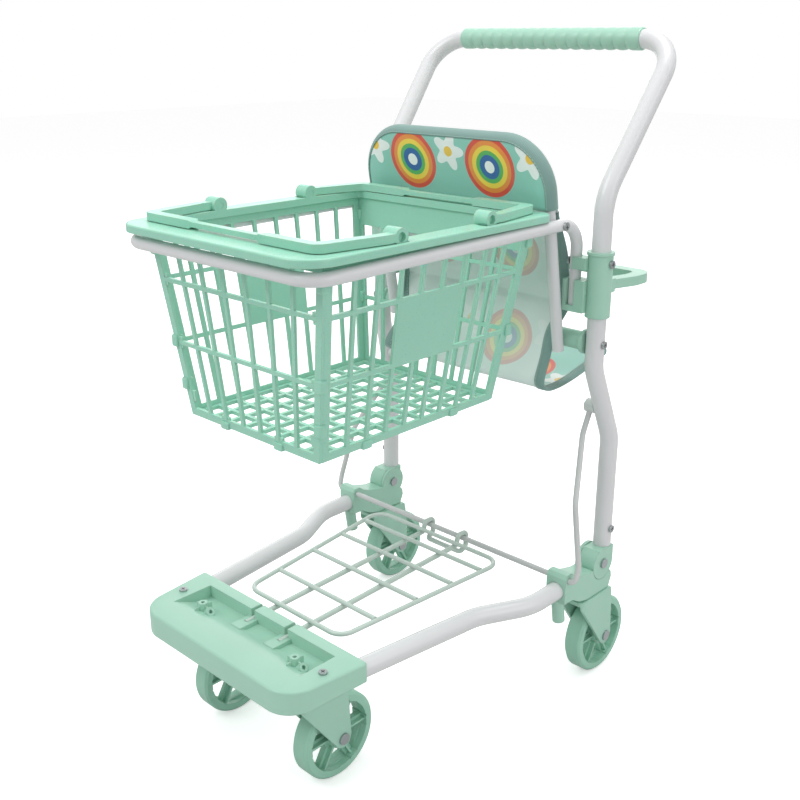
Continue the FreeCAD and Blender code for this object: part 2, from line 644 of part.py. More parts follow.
# ---------------------------------------------------------------- rear brackets
half_width = S.bracket_width / 2
inner_face = S.bracket_half - half_width
outer_face = S.bracket_half + half_width
barrel = S.barrel_dia / 2
body = doc.addObject("PartDesign::Body", "BracketBlock")
side = sketch_on(body, "BracketSide", "YZ_Plane", S.bracket_half)
draw_polygon(side, [
    (S.bracket_front, S.block_foot), (S.bracket_front, S.block_top - 3.5),
    (S.bracket_front + 2.5, S.block_top), (S.block_back - 2, S.block_top),
    (S.block_back + 3, S.block_top - 4), (S.block_back + 10, S.web_top + 4),
    (S.hinge_y - barrel - 7, S.web_top), (S.hinge_y - barrel + 2, S.web_top),
    (S.hinge_y, S.hinge_z), (S.hinge_y + barrel - 1, S.hinge_z - barrel + 2),
    (S.hinge_y + barrel, S.hinge_z - barrel - 4), (S.hinge_y + barrel - 4, S.bracket_base),
    (S.hinge_y - barrel - 7, S.bracket_base), (S.block_back + 13, S.bracket_base + 3.5),
    (S.block_back + 1, S.block_foot)])
extrude(body, "Pad", "BracketPad", side, S.bracket_width, both=True)
relief = sketch_on(body, "BracketRelief", "YZ_Plane", outer_face)
draw_circle(relief, S.hinge_y, S.hinge_z, S.barrel_dia + 2 * S.run_gap)
extrude(body, "Pocket", "BracketCradle", relief, S.bracket_width - S.cheek_thick)
cheek = sketch_on(body, "BracketCheek", "YZ_Plane", inner_face)
draw_circle(cheek, S.hinge_y, S.hinge_z, S.barrel_dia)
extrude(body, "Pad", "BracketCheekPad", cheek, S.cheek_thick)
fillet(body, "BracketFrontEdge", 1.5, lambda edge: abs(edge.BoundBox.XLength - S.bracket_width.value) < 0.01
       and edge.BoundBox.ZMin > S.block_top.value - 0.1)
peg = doc.addObject("Part::Cylinder", "BracketPeg")
bind(peg, "Radius", S.peg_dia / 2)
bind(peg, "Height", S.peg_length)
place(peg, S.bracket_half, S.bracket_front + 3.5, S.block_foot + 2,
      turn=Rotation(Vector(1, 0, 0), 180 + 9))
bracket = fuse("BracketSolid", [body, peg])
cuts = [
    rod("TubeSocket", S.tube_dia + 2 * S.fit_gap,
        (S.bracket_half, S.bracket_front - 1, S.side_tube_z),
        S.side_end_y - S.bracket_front + 1 + S.fit_gap, "y"),
    rod("StayBore", S.stay_dia + 2 * S.fit_gap, (inner_face - 1, S.stay_y, S.stay_z),
        S.bracket_width + 2, "x"),
    rod("HingeBore", S.hinge_pin_dia + 2 * S.fit_gap, (inner_face - 1, S.hinge_y, S.hinge_z),
        S.bracket_width + 2, "x"),
    rod("RearKingBore", S.kingpin_dia + 2 * S.pin_gap,
        (S.rear_track_half, S.rear_pivot_y, S.bracket_base - 1), S.kingpin_grip - S.swivel_gap + 1.2),
]
left = keep(cut("bracket_left", bracket, cuts), "bracket_left")
keep(mirrored("bracket_right", left), "bracket_right")

# ---------------------------------------------------------------- knuckles under the uprights
body = doc.addObject("PartDesign::Body", "KnuckleBlock")
inner_barrel = inner_face + S.cheek_thick + S.run_gap
barrel_width = outer_face - inner_barrel
side = sketch_on(body, "KnuckleBarrel", "YZ_Plane", inner_barrel)
draw_circle(side, S.hinge_y, S.hinge_z, S.barrel_dia)
extrude(body, "Pad", "KnuckleBarrelPad", side, barrel_width)
side = sketch_on(body, "KnuckleHead", "YZ_Plane", inner_barrel)
back = S.upright_low_y + tube_radius - 2
draw_polygon(side, [
    (S.hinge_y - barrel * 0.85, S.hinge_z + barrel * 0.5), (S.hinge_y - barrel * 0.5, S.knuckle_top),
    (back, S.knuckle_top), (back, S.knuckle_top - 5), (S.hinge_y + barrel, S.hinge_z),
    (S.hinge_y, S.hinge_z)])
extrude(body, "Pad", "KnuckleHeadPad", side, barrel_width)
spigot = sketch_on(body, "KnuckleSpigotRing", "XY_Plane", S.knuckle_top - 1)
draw_circle(spigot, S.frame_half, S.upright_low_y, S.spigot_dia)
extrude(body, "Pad", "KnuckleSpigot", spigot, S.spigot_height + 1)
trim = box("KnuckleTrim", (inner_face, outer_face + 5), (S.hinge_y - barrel, back + 5),
           (S.knuckle_top, S.knuckle_top + 20))
spigot_room = rod("KnuckleTrimRing", S.spigot_dia, (S.frame_half, S.upright_low_y, S.knuckle_top - 1),
                  S.spigot_height + 6)
cuts = [
    cut("KnuckleTop", trim, [spigot_room]),
    rod("KnucklePinBore", S.hinge_pin_dia + 2 * S.pin_gap, (inner_face - 1, S.hinge_y, S.hinge_z),
        S.bracket_width + 2, "x"),
    drill("KnuckleScrewHole", *FOOT_SCREW),
]
left = keep(cut("knuckle_left", body, cuts), "knuckle_left")
keep(mirrored("knuckle_right", left), "knuckle_right")
pin_reach = S.bracket_width + 4
pin = rod("HingePinShank", S.hinge_pin_dia, (inner_face - 2, S.hinge_y, S.hinge_z), pin_reach, "x")
heads = [rod("HingePinHeadA", S.hinge_pin_dia + 4, (inner_face - 2, S.hinge_y, S.hinge_z), 1.8, "x"),
         rod("HingePinHeadB", S.hinge_pin_dia + 4, (outer_face + 0.2, S.hinge_y, S.hinge_z), 1.8, "x")]
left = keep(fuse("hinge_pin_left", [pin] + heads), "hinge_pin_left")
keep(mirrored("hinge_pin_right", left), "hinge_pin_right")

# ---------------------------------------------------------------- uprights and handle
tube_dia = S.tube_dia.value
tube_wall = S.tube_wall.value
sway_bend = S.sway_bend.value
foot_z = S.knuckle_top + S.fit_gap
rise = bent_path([at(S.frame_half, S.upright_low_y, foot_z),
                  at(S.frame_half, S.upright_low_y, S.sway_low_z),
                  at(S.upper_half, S.upright_high_y, S.sway_high_z),
                  at(S.upper_half, S.upright_high_y, S.tube_joint_z)],
                 [0, sway_bend, sway_bend, 0])
upright = tube(rise, tube_dia, tube_wall)
for spot in (FOOT_SCREW, CLIP_SCREW, SEAT_SCREW):
    upright = upright.cut(bore(*spot))
left = keep(solid("upright_left", upright), "upright_left")
keep(mirrored("upright_right", left), "upright_right")

handle_corners = [at(S.upper_half, S.upright_high_y, S.tube_joint_z + S.run_gap),
                  at(S.upper_half, S.upright_high_y, S.handle_bend_z),
                  at(S.handle_top_half, S.grip_y, S.grip_z)]
handle_corners += [flipped(corner) for corner in reversed(handle_corners)]
low_bend, top_bend = S.handle_low_bend.value, S.handle_top_bend.value
handle_path = bent_path(handle_corners, [0, low_bend, top_bend, top_bend, low_bend, 0])
handle = tube(handle_path, tube_dia, tube_wall)
for spot in both_sides(COLLAR_SCREW):
    handle = handle.cut(bore(*spot))
keep(solid("handle_tube", handle), "handle_tube")

sleeve = rod("GripSleeve", S.grip_dia, (-S.grip_half, S.grip_y, S.grip_z), 2 * S.grip_half, "x")
grooves = [rod("GripBore", S.tube_dia + 2 * S.fit_gap, (-S.grip_half - 1, S.grip_y, S.grip_z),
               2 * S.grip_half + 2, "x")]
groove_z = S.grip_z - S.grip_dia / 2 - S.groove_dia / 2 + S.groove_depth
for i in range(-7, 8):
    grooves.append(rod(f"GripGroove{i + 7}", S.groove_dia,
                       (i * S.groove_pitch, S.grip_y - S.grip_dia, groove_z), 2 * S.grip_dia, "y"))
keep(cut("handle_grip", sleeve, grooves), "handle_grip")

# ---------------------------------------------------------------- collars and bumper bar
ring = S.tube_dia + 2 * S.collar_wall
collar_height = S.collar_high_z - S.collar_low_z
leg_hole = S.hoop_dia + 2 * S.fit_gap
pocket_out = leg_hole / 2 + S.pocket_wall
collar_adds = [
    rod("CollarSleeve", ring, (S.upper_half, S.upright_high_y, S.collar_low_z), collar_height),
    rod("CollarLip", ring + 2 * S.collar_lip,
        (S.upper_half, S.upright_high_y, S.collar_high_z - 2.5), 2.5),
    box("LegPocket", (S.hoop_back_half - pocket_out, S.upper_half - 6),
        (S.hoop_leg_y - pocket_out, S.hoop_leg_y + pocket_out), (S.pocket_low_z, S.pocket_high_z)),
    box("LegGuide", (S.hoop_back_half, S.upper_half - 6),
        (S.hoop_leg_y - pocket_out + 1, S.hoop_leg_y + pocket_out - 1),
        (S.guide_low_z, S.guide_high_z)),
    box("BumperBoss", (S.upper_half - S.bumper_width / 2 - 1.5, S.upper_half + S.bumper_width / 2 + 1.5),
        (S.upright_high_y, S.bumper_front + 4),
        (S.bumper_top - S.bumper_height - 1.5, S.bumper_top + 1.5)),
]
collar_cuts = [
    rod("CollarBore", S.tube_dia + 2 * S.fit_gap,
        (S.upper_half, S.upright_high_y, S.collar_low_z - 1), collar_height + 2),
    rod("LegBore", leg_hole, (S.hoop_back_half, S.hoop_leg_y, S.hoop_foot_z - S.fit_gap),
        S.guide_high_z - S.hoop_foot_z + 5),
    box("LegMouth", (S.hoop_back_half - S.hoop_dia / 2 + 1, S.hoop_back_half + S.hoop_dia / 2 - 1),
        (S.hoop_leg_y - pocket_out - 1, S.hoop_leg_y),
        (S.hoop_foot_z + 2, S.pocket_high_z + 1)),
    box("BumperSocket", (S.upper_half - S.bumper_width / 2 - S.fit_gap,
                         S.upper_half + S.bumper_width / 2 + S.fit_gap),
        (S.bumper_front - S.fit_gap, S.bumper_front + 6),
        (S.bumper_top - S.bumper_height - S.fit_gap, S.bumper_top + S.fit_gap)),
    drill("CollarScrewHole", *COLLAR_SCREW), drill("LegScrewHole", *LEG_SCREW),
]
left = keep(cut("collar_left", fuse("CollarSolid", collar_adds), collar_cuts), "collar_left")
keep(mirrored("collar_right", left), "collar_right")

body = doc.addObject("PartDesign::Body", "BumperBody")
plan = sketch_on(body, "BumperPlan", "XY_Plane", S.bumper_top - S.bumper_height)
width = S.bumper_width
arm_out = S.upper_half + width / 2
arm_in = S.upper_half - width / 2
turn_y = S.bumper_front + 8
draw_polygon(plan, [
    (arm_out, S.bumper_front), (arm_out, turn_y), (S.bumper_half, turn_y + 22),
    (S.bumper_half, S.bumper_back), (-S.bumper_half, S.bumper_back), (-S.bumper_half, turn_y + 22),
    (-arm_out, turn_y), (-arm_out, S.bumper_front), (-arm_in, S.bumper_front), (-arm_in, turn_y),
    (-S.bumper_half + width, turn_y + 22), (-S.bumper_half + width, S.bumper_back - width),
    (S.bumper_half - width, S.bumper_back - width), (S.bumper_half - width, turn_y + 22),
    (arm_in, turn_y)])
extrude(body, "Pad", "BumperPad", plan, S.bumper_height)
fillet(body, "BumperOuterCorners", S.bumper_corner, lambda edge: is_upright(edge)
       and edge.BoundBox.YMax > S.bumper_back.value - 1)
fillet(body, "BumperInnerCorners", 6.0, lambda edge: is_upright(edge)
       and abs(edge.BoundBox.YMax - S.bumper_back.value + S.bumper_width.value) < 1)
keep(body, "bumper_bar")

# ---------------------------------------------------------------- stay wire and clips
stay_x = clip_x + S.clip_thick / 2
stay_corners = [at(stay_x, clip_y - 1.1, S.clip_z - 2.5),
                at(stay_x, clip_y - 11, S.clip_z - 24),
                at(S.stay_knee_x, S.stay_knee_y, S.stay_knee_z),
                at(S.stay_out_x, S.stay_y + 4, S.stay_z + 14),
                at(S.stay_out_x, S.stay_y, S.stay_z)]
stay_corners += [flipped(corner) for corner in reversed(stay_corners)]
stay_bends = [0, 25, 22, 12, 6]
stay_path = bent_path(stay_corners, stay_bends + stay_bends[::-1])
keep(solid("stay_wire", sweep(stay_path, S.stay_dia.value)), "stay_wire")
clip = Part.makeCylinder(S.clip_dia.value / 2, S.clip_thick.value + 2.5,
                         at(clip_x, clip_y, S.clip_z), Vector(1, 0, 0))
fit = 2 * S.fit_gap.value
clip = clip.cut(sweep(stay_path, S.stay_dia.value + fit)).cut(sweep(rise, tube_dia + fit))
left = keep(solid("stay_clip_left", clip.cut(bore(*CLIP_SCREW))), "stay_clip_left")
keep(mirrored("stay_clip_right", left), "stay_clip_right")

# ---------------------------------------------------------------- lower rack
corner = S.rack_corner.value
rack_corners = [at(S.rack_half_front, S.rack_front, S.rack_front_z),
                at(S.rack_half_back, S.rack_back, S.rack_back_z)]
rack_corners += [flipped(point) for point in reversed(rack_corners)]
frame_wire = sweep(bent_path(rack_corners, [corner] * 4, closed=True), S.rung_dia.value)
keep(solid("rack_frame", frame_wire), "rack_frame")

rung_pieces = []
for i, rung_y in enumerate((-86.0, -41.0, -1.0, 34.0)):
    share = (as_size(rung_y) - S.rack_front) / (S.rack_back - S.rack_front)
    reach = S.rack_half_front + (S.rack_half_back - S.rack_half_front) * share
    reach = reach - S.rung_dia / 2 - S.run_gap
    level = S.rack_front_z + (S.rack_back_z - S.rack_front_z) * share
    rung_pieces.append(rod(f"Rung{i}", S.rung_dia, (-reach, rung_y, level), 2 * reach, "x"))
rungs = doc.addObject("Part::Compound", "rack_rungs")
rungs.Links = rung_pieces
keep(rungs, "rack_rungs")

hook = (S.stay_dia + S.rail_dia) / 2 + S.fit_gap
rail_corners = [at(S.rail_x, S.rail_front_y, rail_z(S.rail_front_y)),
                at(S.rail_x, S.stay_y - 9, rail_z(S.stay_y - 9)),
                at(S.rail_x, S.stay_y - 6.5, S.stay_z + hook),
                at(S.rail_x, S.stay_y + hook, S.stay_z + hook),
                at(S.rail_x, S.stay_y + hook, S.stay_z - 10), at(S.rail_x, S.loop_y, S.loop_z)]
rail_corners += [flipped(point) for point in reversed(rail_corners)]
rail_bends = [0, 3.4, 3.4, 4.4, 3.6, 3.6]
rails = sweep(bent_path(rail_corners, rail_bends + rail_bends[::-1]), S.rail_dia.value)
keep(solid("rack_rails", rails), "rack_rails")

# ---------------------------------------------------------------- hoop that carries the basket
hoop_corners = [at(S.hoop_back_half, S.hoop_leg_y, S.hoop_foot_z),
                at(S.hoop_back_half, S.hoop_leg_y, S.hoop_z),
                at(S.hoop_front_half, S.hoop_front, S.hoop_front_z)]
hoop_corners += [flipped(point) for point in reversed(hoop_corners)]
drop, turn = S.hoop_drop_bend.value, S.hoop_corner.value
hoop = sweep(bent_path(hoop_corners, [0, drop, turn, turn, drop, 0]), S.hoop_dia.value)
for spot in both_sides(LEG_SCREW) + both_sides(HOOP_SCREW):
    hoop = hoop.cut(bore(*spot))
keep(solid("basket_hoop", hoop), "basket_hoop")

# ---------------------------------------------------------------- doll seat
seat_bar_y = S.upright_high_y
leg_bar_y = seat_bar_y - S.seat_bar_dia / 2 - S.hoop_dia / 2 - S.run_gap
lean = (leg_bar_y - S.seat_hoop_y) / (S.hoop_z - S.seat_bar_z)
lean_angle = math.degrees(math.atan(lean.value))


def seat_y(z):
    """Depth of the backrest's middle plane at a height."""
    return leg_bar_y - lean * (as_size(z) - S.seat_bar_z)


seat_corners = [at(S.seat_leg_half, seat_y(S.seat_leg_foot_z), S.seat_leg_foot_z),
                at(S.seat_leg_half, seat_y(S.seat_top_z), S.seat_top_z)]
seat_corners += [flipped(point) for point in reversed(seat_corners)]
seat_bend = S.seat_bend.value
backrest = sweep(bent_path(seat_corners, [0, seat_bend, seat_bend, 0]), S.hoop_dia.value)
for spot in both_sides(HOOP_SCREW):
    backrest = backrest.cut(bore(*spot))
keep(solid("backrest_tube", backrest), "backrest_tube")

bar_reach = S.upper_half - S.tube_dia / 2 - S.fit_gap
bar_solid = rod("SeatBarRod", S.seat_bar_dia, (-bar_reach, seat_bar_y, S.seat_bar_z), 2 * bar_reach, "x")
plates = []
for name, start in (("SeatBarPlateA", -bar_reach), ("SeatBarPlateB", bar_reach - 3)):
    plates.append(rod(name, S.seat_bar_dia + 5, (start, seat_bar_y, S.seat_bar_z), 3.0, "x"))
holes = [drill(f"SeatBarHole{i}", *spot) for i, spot in enumerate(both_sides(SEAT_SCREW))]
keep(cut("seat_bar", fuse("SeatBarSolid", [bar_solid] + plates), holes), "seat_bar")

cloth = S.cloth_thick
sleeve_gap = S.run_gap
sleeve_half = S.hoop_dia / 2 + sleeve_gap + cloth
slant = 1 / math.cos(math.radians(lean_angle))
low = (S.sleeve_low_z - S.seat_bar_z) * slant
high = (S.seat_top_z - S.seat_bar_z) * slant


def arched_slab(name, half, thick, bottom, top, corner):
    """A slab in the backrest's plane with two rounded upper corners."""
    slab = doc.addObject("PartDesign::Body", name)
    face = sketch_on(slab, name + "Face", "XZ_Plane")
    draw_polygon(face, [(-half, bottom), (half, bottom), (half, top), (-half, top)])
    extrude(slab, "Pad", name + "Pad", face, thick, both=True)
    fillet(slab, name + "Corners", corner, lambda edge: edge.BoundBox.YLength > 5
           and edge.BoundBox.ZMin > as_size(top).value - 0.1)
    place(slab, 0.0, leg_bar_y, S.seat_bar_z, turn=Rotation(Vector(1, 0, 0), lean_angle))
    doc.recompute()
    return slab


outer = arched_slab("SleeveOuter", S.seat_leg_half + sleeve_half, 2 * sleeve_half, low,
                    high + sleeve_half, S.seat_bend + sleeve_half)
inner_half = sleeve_half - cloth
inner = arched_slab("SleeveInner", S.seat_leg_half + inner_half, 2 * inner_half, low - 1,
                    high + inner_half, S.seat_bend + inner_half)
panel_top = seat_y(S.sleeve_low_z) - sleeve_half * slant + 0.1
body = doc.addObject("PartDesign::Body", "SeatPanel")
side = sketch_on(body, "SeatPanelSide", "YZ_Plane")
draw_polygon(side, [
    (S.sling_fold_y, S.sling_fold_z), (S.sling_fold_y + cloth, S.sling_fold_z),
    (panel_top + cloth, S.sleeve_low_z + 1), (panel_top, S.sleeve_low_z + 1)])
extrude(body, "Pad", "SeatPanelPad", side, 2 * S.sling_half, both=True)
keep(fuse("seat_backrest", [cut("SleeveShell", outer, [inner]), body]), "seat_backrest")

body = doc.addObject("PartDesign::Body", "SeatPan")
side = sketch_on(body, "SeatPanSide", "YZ_Plane")
half_y = (S.sling_low_y + S.sling_back_y) / 2
half_z = (S.sling_low_z + S.sling_back_z) / 2
draw_polygon(side, [
    (S.sling_fold_y, S.sling_fold_z - S.fit_gap), (S.sling_fold_y + 12, S.sling_low_z + 1),
    (S.sling_low_y, S.sling_low_z - cloth), (half_y, half_z - 5 - cloth),
    (S.sling_back_y, S.sling_back_z - cloth), (S.sling_back_y, S.sling_back_z),
    (half_y, half_z - 5), (S.sling_low_y, S.sling_low_z),
    (S.sling_fold_y + 12, S.sling_low_z + 1 + cloth), (S.sling_fold_y + cloth, S.sling_fold_z - S.fit_gap)])
extrude(body, "Pad", "SeatPanPad", side, 2 * S.sling_half, both=True)
keep(body, "seat_pan")

# ---------------------------------------------------------------- basket
class Wall:
    """A leaning wall of the basket, drawn in its own plane and then tilted into place."""

    def __init__(self, low, high):
        self.low, self.high = as_size(low), as_size(high)
        tall = S.wall_top_z - S.floor_z
        self.lean = (self.high - self.low) / tall
        self.slant = math.sqrt(1 + self.lean.value ** 2)
        self.angle = math.degrees(math.atan(self.lean.value))

    def up(self, z):
        """Distance along the leaning wall from the floor to a height."""
        return (as_size(z) - S.floor_z) * self.slant


side_wall = Wall(S.floor_half, S.top_half)
front_wall = Wall(-S.floor_front, -S.top_front)
back_wall = Wall(S.floor_back, S.top_back)


def blend(low, high, share):
    return low + (high - low) * share


def lattice(name, wall, left, right, rows, turn, position):
    """A trapezoid panel pierced by rows of windows.

    left and right are (at floor, at top) pairs; each row is (low z, high z, columns, solid
    columns); the windows of a row fan with the sloping edges.
    """
    panel = doc.addObject("PartDesign::Body", name)
    outline = sketch_on(panel, name + "Outline", "XY_Plane")
    top = wall.up(S.wall_top_z - S.fit_gap - S.wall_thick * wall.lean)
    draw_polygon(outline, [(left[0], 0.0), (right[0], 0.0), (right[1], top), (left[1], top)])
    extrude(panel, "Pad", name + "Sheet", outline, S.wall_thick)
    for index, (row_low, row_high, columns, solid_columns) in enumerate(rows):
        grid = sketch_on(panel, f"{name}Row{index}", "XY_Plane")
        bottom, ceiling = wall.up(row_low), wall.up(row_high)
        for column in range(columns):
            if column in solid_columns:
                continue
            corners = []
            for level, order in ((bottom, (0, 1)), (ceiling, (1, 0))):
                share = level / top
                start = blend(left[0], left[1], share) + S.lattice_post
                end = blend(right[0], right[1], share) - S.lattice_post
                pitch = (end - start + S.lattice_bar) / columns
                for far in order:
                    corners.append((start + pitch * (column + far) - S.lattice_bar * far, level))
            draw_polygon(grid, corners)
        extrude(panel, "Pocket", f"{name}Windows{index}", grid, S.wall_thick, flip=True)
    place(panel, *position, turn=turn)
    return panel


def tabs(name, panel, spots, outward):
    """Small clips that stand proud of a panel's outer face."""
    grid = sketch_on(panel, name, "XY_Plane")
    for x, y, wide, tall in spots:
        x, y, wide, tall = as_size(x), as_size(y), as_size(wide), as_size(tall)
        draw_polygon(grid, [(x, y), (x + wide, y), (x + wide, y + tall), (x, y + tall)])
    extrude(panel, "Pad", name + "Pad", grid, S.tab_thick, flip=outward)
    return panel


low_rail, high_rail = S.low_rail_z, S.high_rail_z
foot_rail = S.floor_z + S.lattice_post
head_rail = S.wall_top_z - S.lattice_post
gap = S.lattice_bar / 2
thick_front = S.wall_thick * front_wall.slant + S.fit_gap
thick_back = S.wall_thick * back_wall.slant + S.fit_gap
front_edge = (S.floor_front + thick_front, S.top_front + thick_front)
back_edge = (S.floor_back - thick_back, S.top_back - thick_back)
label = (3, 4, 5)
side_rows = [(foot_rail, low_rail - gap, 9, ()), (low_rail + gap, high_rail - gap, 9, label),
             (high_rail + gap, head_rail, 9, ())]
turn_side = Rotation(Vector(0, 1, 0), side_wall.angle) * Rotation(Vector(1, 1, 1), 120)
inset = S.wall_thick * side_wall.slant
left_panel = lattice("SideLattice", side_wall, front_edge, back_edge, side_rows, turn_side,
                     (S.floor_half - inset, 0.0, S.floor_z))
left = keep(left_panel, "basket_left")
keep(mirrored("basket_right", left), "basket_right")

span = (S.floor_half, S.top_half)
minus = (-S.floor_half, -S.top_half)
front_rows = [(foot_rail, low_rail - gap, 7, ()), (low_rail + gap, high_rail - gap, 7, ()),
              (high_rail + gap, head_rail, 7, ())]
turn_front = Rotation(Vector(1, 0, 0), 90 + front_wall.angle)
front_panel = lattice("FrontLattice", front_wall, minus, span, front_rows, turn_front,
                      (0.0, S.floor_front + S.wall_thick * front_wall.slant, S.floor_z))
tab = S.tab_size
spots = []
for z in (S.floor_z + 12, S.low_rail_z - 4.5, S.high_rail_z - 4.5, S.rim_top - 20.5):
    level = front_wall.up(z)
    edge = blend(S.floor_half, S.top_half, level / front_wall.up(S.wall_top_z))
    for corner in (edge - tab, -edge):
        spots.append((corner, level, tab, tab))
for x in (S.tab_half, -S.tab_half):
    spots.append((x - tab / 2, 0.0, tab, tab))
keep(tabs("FrontTabs", front_panel, spots, False), "basket_front")

back_rows = [(foot_rail, low_rail - gap, 7, ()), (low_rail + gap, high_rail - gap, 7, ()),
             (high_rail + gap, S.back_band_z, 7, ())]
turn_back = Rotation(Vector(1, 0, 0), 90 - back_wall.angle)
keep(lattice("BackLattice", back_wall, minus, span, back_rows, turn_back,
             (0.0, S.floor_back, S.floor_z)), "basket_rear")

body = doc.addObject("PartDesign::Body", "FloorLattice")
plan = sketch_on(body, "FloorPlan", "XY_Plane", S.floor_z)
half = S.floor_half - inset - S.fit_gap
ends = (S.floor_front + thick_front + S.fit_gap, S.floor_back - thick_back - S.fit_gap)
draw_polygon(plan, [(-half, ends[0]), (half, ends[0]), (half, ends[1]), (-half, ends[1])])
extrude(body, "Pad", "FloorSheet", plan, S.floor_thick)
columns, lanes = 8, 10
bar = S.lattice_bar
pitch_x = (2 * half - bar) / columns
pitch_y = (ends[1] - ends[0] - bar) / lanes
cell = sketch_on(body, "FloorCell", "XY_Plane", S.floor_z)
draw_polygon(cell, [(-half + bar, ends[0] + bar), (-half + pitch_x, ends[0] + bar),
                    (-half + pitch_x, ends[0] + pitch_y), (-half + bar, ends[0] + pitch_y)])
hole = extrude(body, "Pocket", "FloorHole", cell, S.floor_thick, flip=True)
pattern = body.newObject("PartDesign::MultiTransform", "FloorHoles")
pattern.Originals = [hole]
steps = []
for name, axis, pitch, count in (("AcrossX", "X_Axis", pitch_x, columns),
                                 ("AlongY", "Y_Axis", pitch_y, lanes)):
    row = body.newObject("PartDesign::LinearPattern", "Floor" + name)
    row.Direction = (origin_item(body, axis), [""])
    row.Length = (pitch * (count - 1)).value
    bind(row, "Length", pitch * (count - 1))
    row.Occurrences = count
    steps.append(row)
pattern.Transformations = steps
body.Tip = pattern
doc.recompute()
keep(body, "basket_floor")

# ---------------------------------------------------------------- basket rim
body = doc.addObject("PartDesign::Body", "RimBody")
plan = sketch_on(body, "RimPlan", "XY_Plane", S.wall_top_z)
draw_polygon(plan, [(-S.rim_half, S.rim_front), (S.rim_half, S.rim_front),
                    (S.rim_half, S.rim_back), (-S.rim_half, S.rim_back)])
extrude(body, "Pad", "RimPad", plan, S.rim_top - S.wall_top_z)
fillet(body, "RimFrontCorners", S.rim_front_corner, lambda edge: is_upright(edge)
       and edge.BoundBox.YMax < S.rim_front.value + 1)
fillet(body, "RimBackCorners", S.rim_back_corner, lambda edge: is_upright(edge)
       and edge.BoundBox.YMin > S.rim_back.value - 1)
fillet(body, "RimTopEdge", 1.5, lambda edge: edge.BoundBox.ZMin > S.rim_top.value - 0.01)
mouth = sketch_on(body, "RimMouth", "XY_Plane", S.rim_top)
draw_polygon(mouth, [(-S.mouth_half, S.mouth_front), (S.mouth_half, S.mouth_front),
                     (S.mouth_half, S.mouth_back), (-S.mouth_half, S.mouth_back)])
extrude(body, "Pocket", "RimOpening", mouth, 20.0)
fillet(body, "RimMouthCorners", S.mouth_corner, lambda edge: is_upright(edge)
       and abs(abs(edge.BoundBox.XMax) - S.mouth_half.value) < 0.1)
rim_adds = [body]
rim_cuts = []
lug_in = S.mouth_half
lug_out = S.mouth_half + S.lug_width
for name, pivot in (("Front", S.front_bail_y), ("Rear", S.rear_bail_y)):
    for side, sign in (("Left", 1), ("Right", -1)):
        start = lug_in if sign > 0 else -lug_out
        dia = S.bail_knuckle_dia
        rim_adds.append(rod(f"Lug{name}{side}", dia, (start, pivot, S.bail_axis_z), S.lug_width, "x"))
        edges = (lug_out, S.bail_half + 2 * S.run_gap)
        edges = edges if sign > 0 else (-edges[1], -edges[0])
        rim_cuts.append(box(f"Notch{name}{side}", edges, (pivot - dia / 2 - 1, pivot + dia / 2 + 1),
                            (S.bail_axis_z - dia / 2 - S.run_gap, S.rim_top + 10)))
        rim_cuts.append(rod(f"LugBore{name}{side}", S.bail_pin_dia + 2 * S.pin_gap,
                            (start - 1, pivot, S.bail_axis_z), S.lug_width + 2, "x"))
keep(cut("basket_rim", fuse("RimSolid", rim_adds), rim_cuts), "basket_rim")


# ---------------------------------------------------------------- swing-over bails
def make_bail(label, pivot, reach, way):
    """A flat U handle that folds outward on the rim; way is -1 to the front, +1 to the rear."""
    frame = doc.addObject("PartDesign::Body", label + "Frame")
    plan = sketch_on(frame, label + "Plan", "XY_Plane", S.bail_axis_z - S.bail_height / 2)
    far = pivot + way * (reach + S.bail_width / 2)
    near = pivot + way * (reach - S.bail_width / 2)
    arm_in = S.bail_half - S.bail_width
    tip_in = S.bail_tip_half - S.bail_width
    shoulder = pivot + way * 14
    draw_polygon(plan, [
        (S.bail_half, pivot), (S.bail_half, shoulder), (S.bail_tip_half, far),
        (-S.bail_tip_half, far), (-S.bail_half, shoulder), (-S.bail_half, pivot),
        (-arm_in, pivot), (-arm_in, shoulder), (-tip_in, near), (tip_in, near),
        (arm_in, shoulder), (arm_in, pivot)])
    extrude(frame, "Pad", label + "Pad", plan, S.bail_height)
    fillet(frame, label + "Outer", S.bail_corner, lambda edge: is_upright(edge)
           and abs(edge.BoundBox.YMax - far.value) < 0.1)
    fillet(frame, label + "Inner", 4.0, lambda edge: is_upright(edge)
           and abs(edge.BoundBox.YMax - near.value) < 0.1)
    pieces = [frame]
    holes = []
    for side, sign in (("Left", 1), ("Right", -1)):
        start = arm_in if sign > 0 else -S.bail_half
        pin_start = lug_in + 0.2 if sign > 0 else -S.bail_half
        pieces.append(rod(label + "Knuckle" + side, S.bail_knuckle_dia,
                          (start, pivot, S.bail_axis_z), S.bail_width, "x"))
        pieces.append(rod(label + "Pin" + side, S.bail_pin_dia,
                          (pin_start, pivot, S.bail_axis_z), S.bail_half - lug_in - 0.2, "x"))
        hole_start = S.bail_half - 3.0 if sign > 0 else -S.bail_half
        holes.append(rod(label + "Dimple" + side, S.bail_knuckle_dia - 6,
                         (hole_start, pivot, S.bail_axis_z), 3.0, "x"))
    return keep(cut(label, fuse(label + "Solid", pieces), holes), label)


make_bail("bail_front", S.front_bail_y, S.front_bail_arm, -1)
make_bail("bail_rear", S.rear_bail_y, S.rear_bail_arm, 1)

# ---------------------------------------------------------------- checks and files
doc.recompute()
for obj in doc.Objects:
    if "Invalid" in obj.State or "Error" in obj.State:
        raise RuntimeError(f"{obj.Name}: {obj.State}")
os.makedirs("parts", exist_ok=True)
for obj in subparts:
    shape = obj.Shape
    if shape.isNull() or not shape.isValid() or not shape.Solids:
        raise RuntimeError(f"{obj.Label} has no sound shape")
    shape.exportStep(f"parts/{obj.Label}.step")
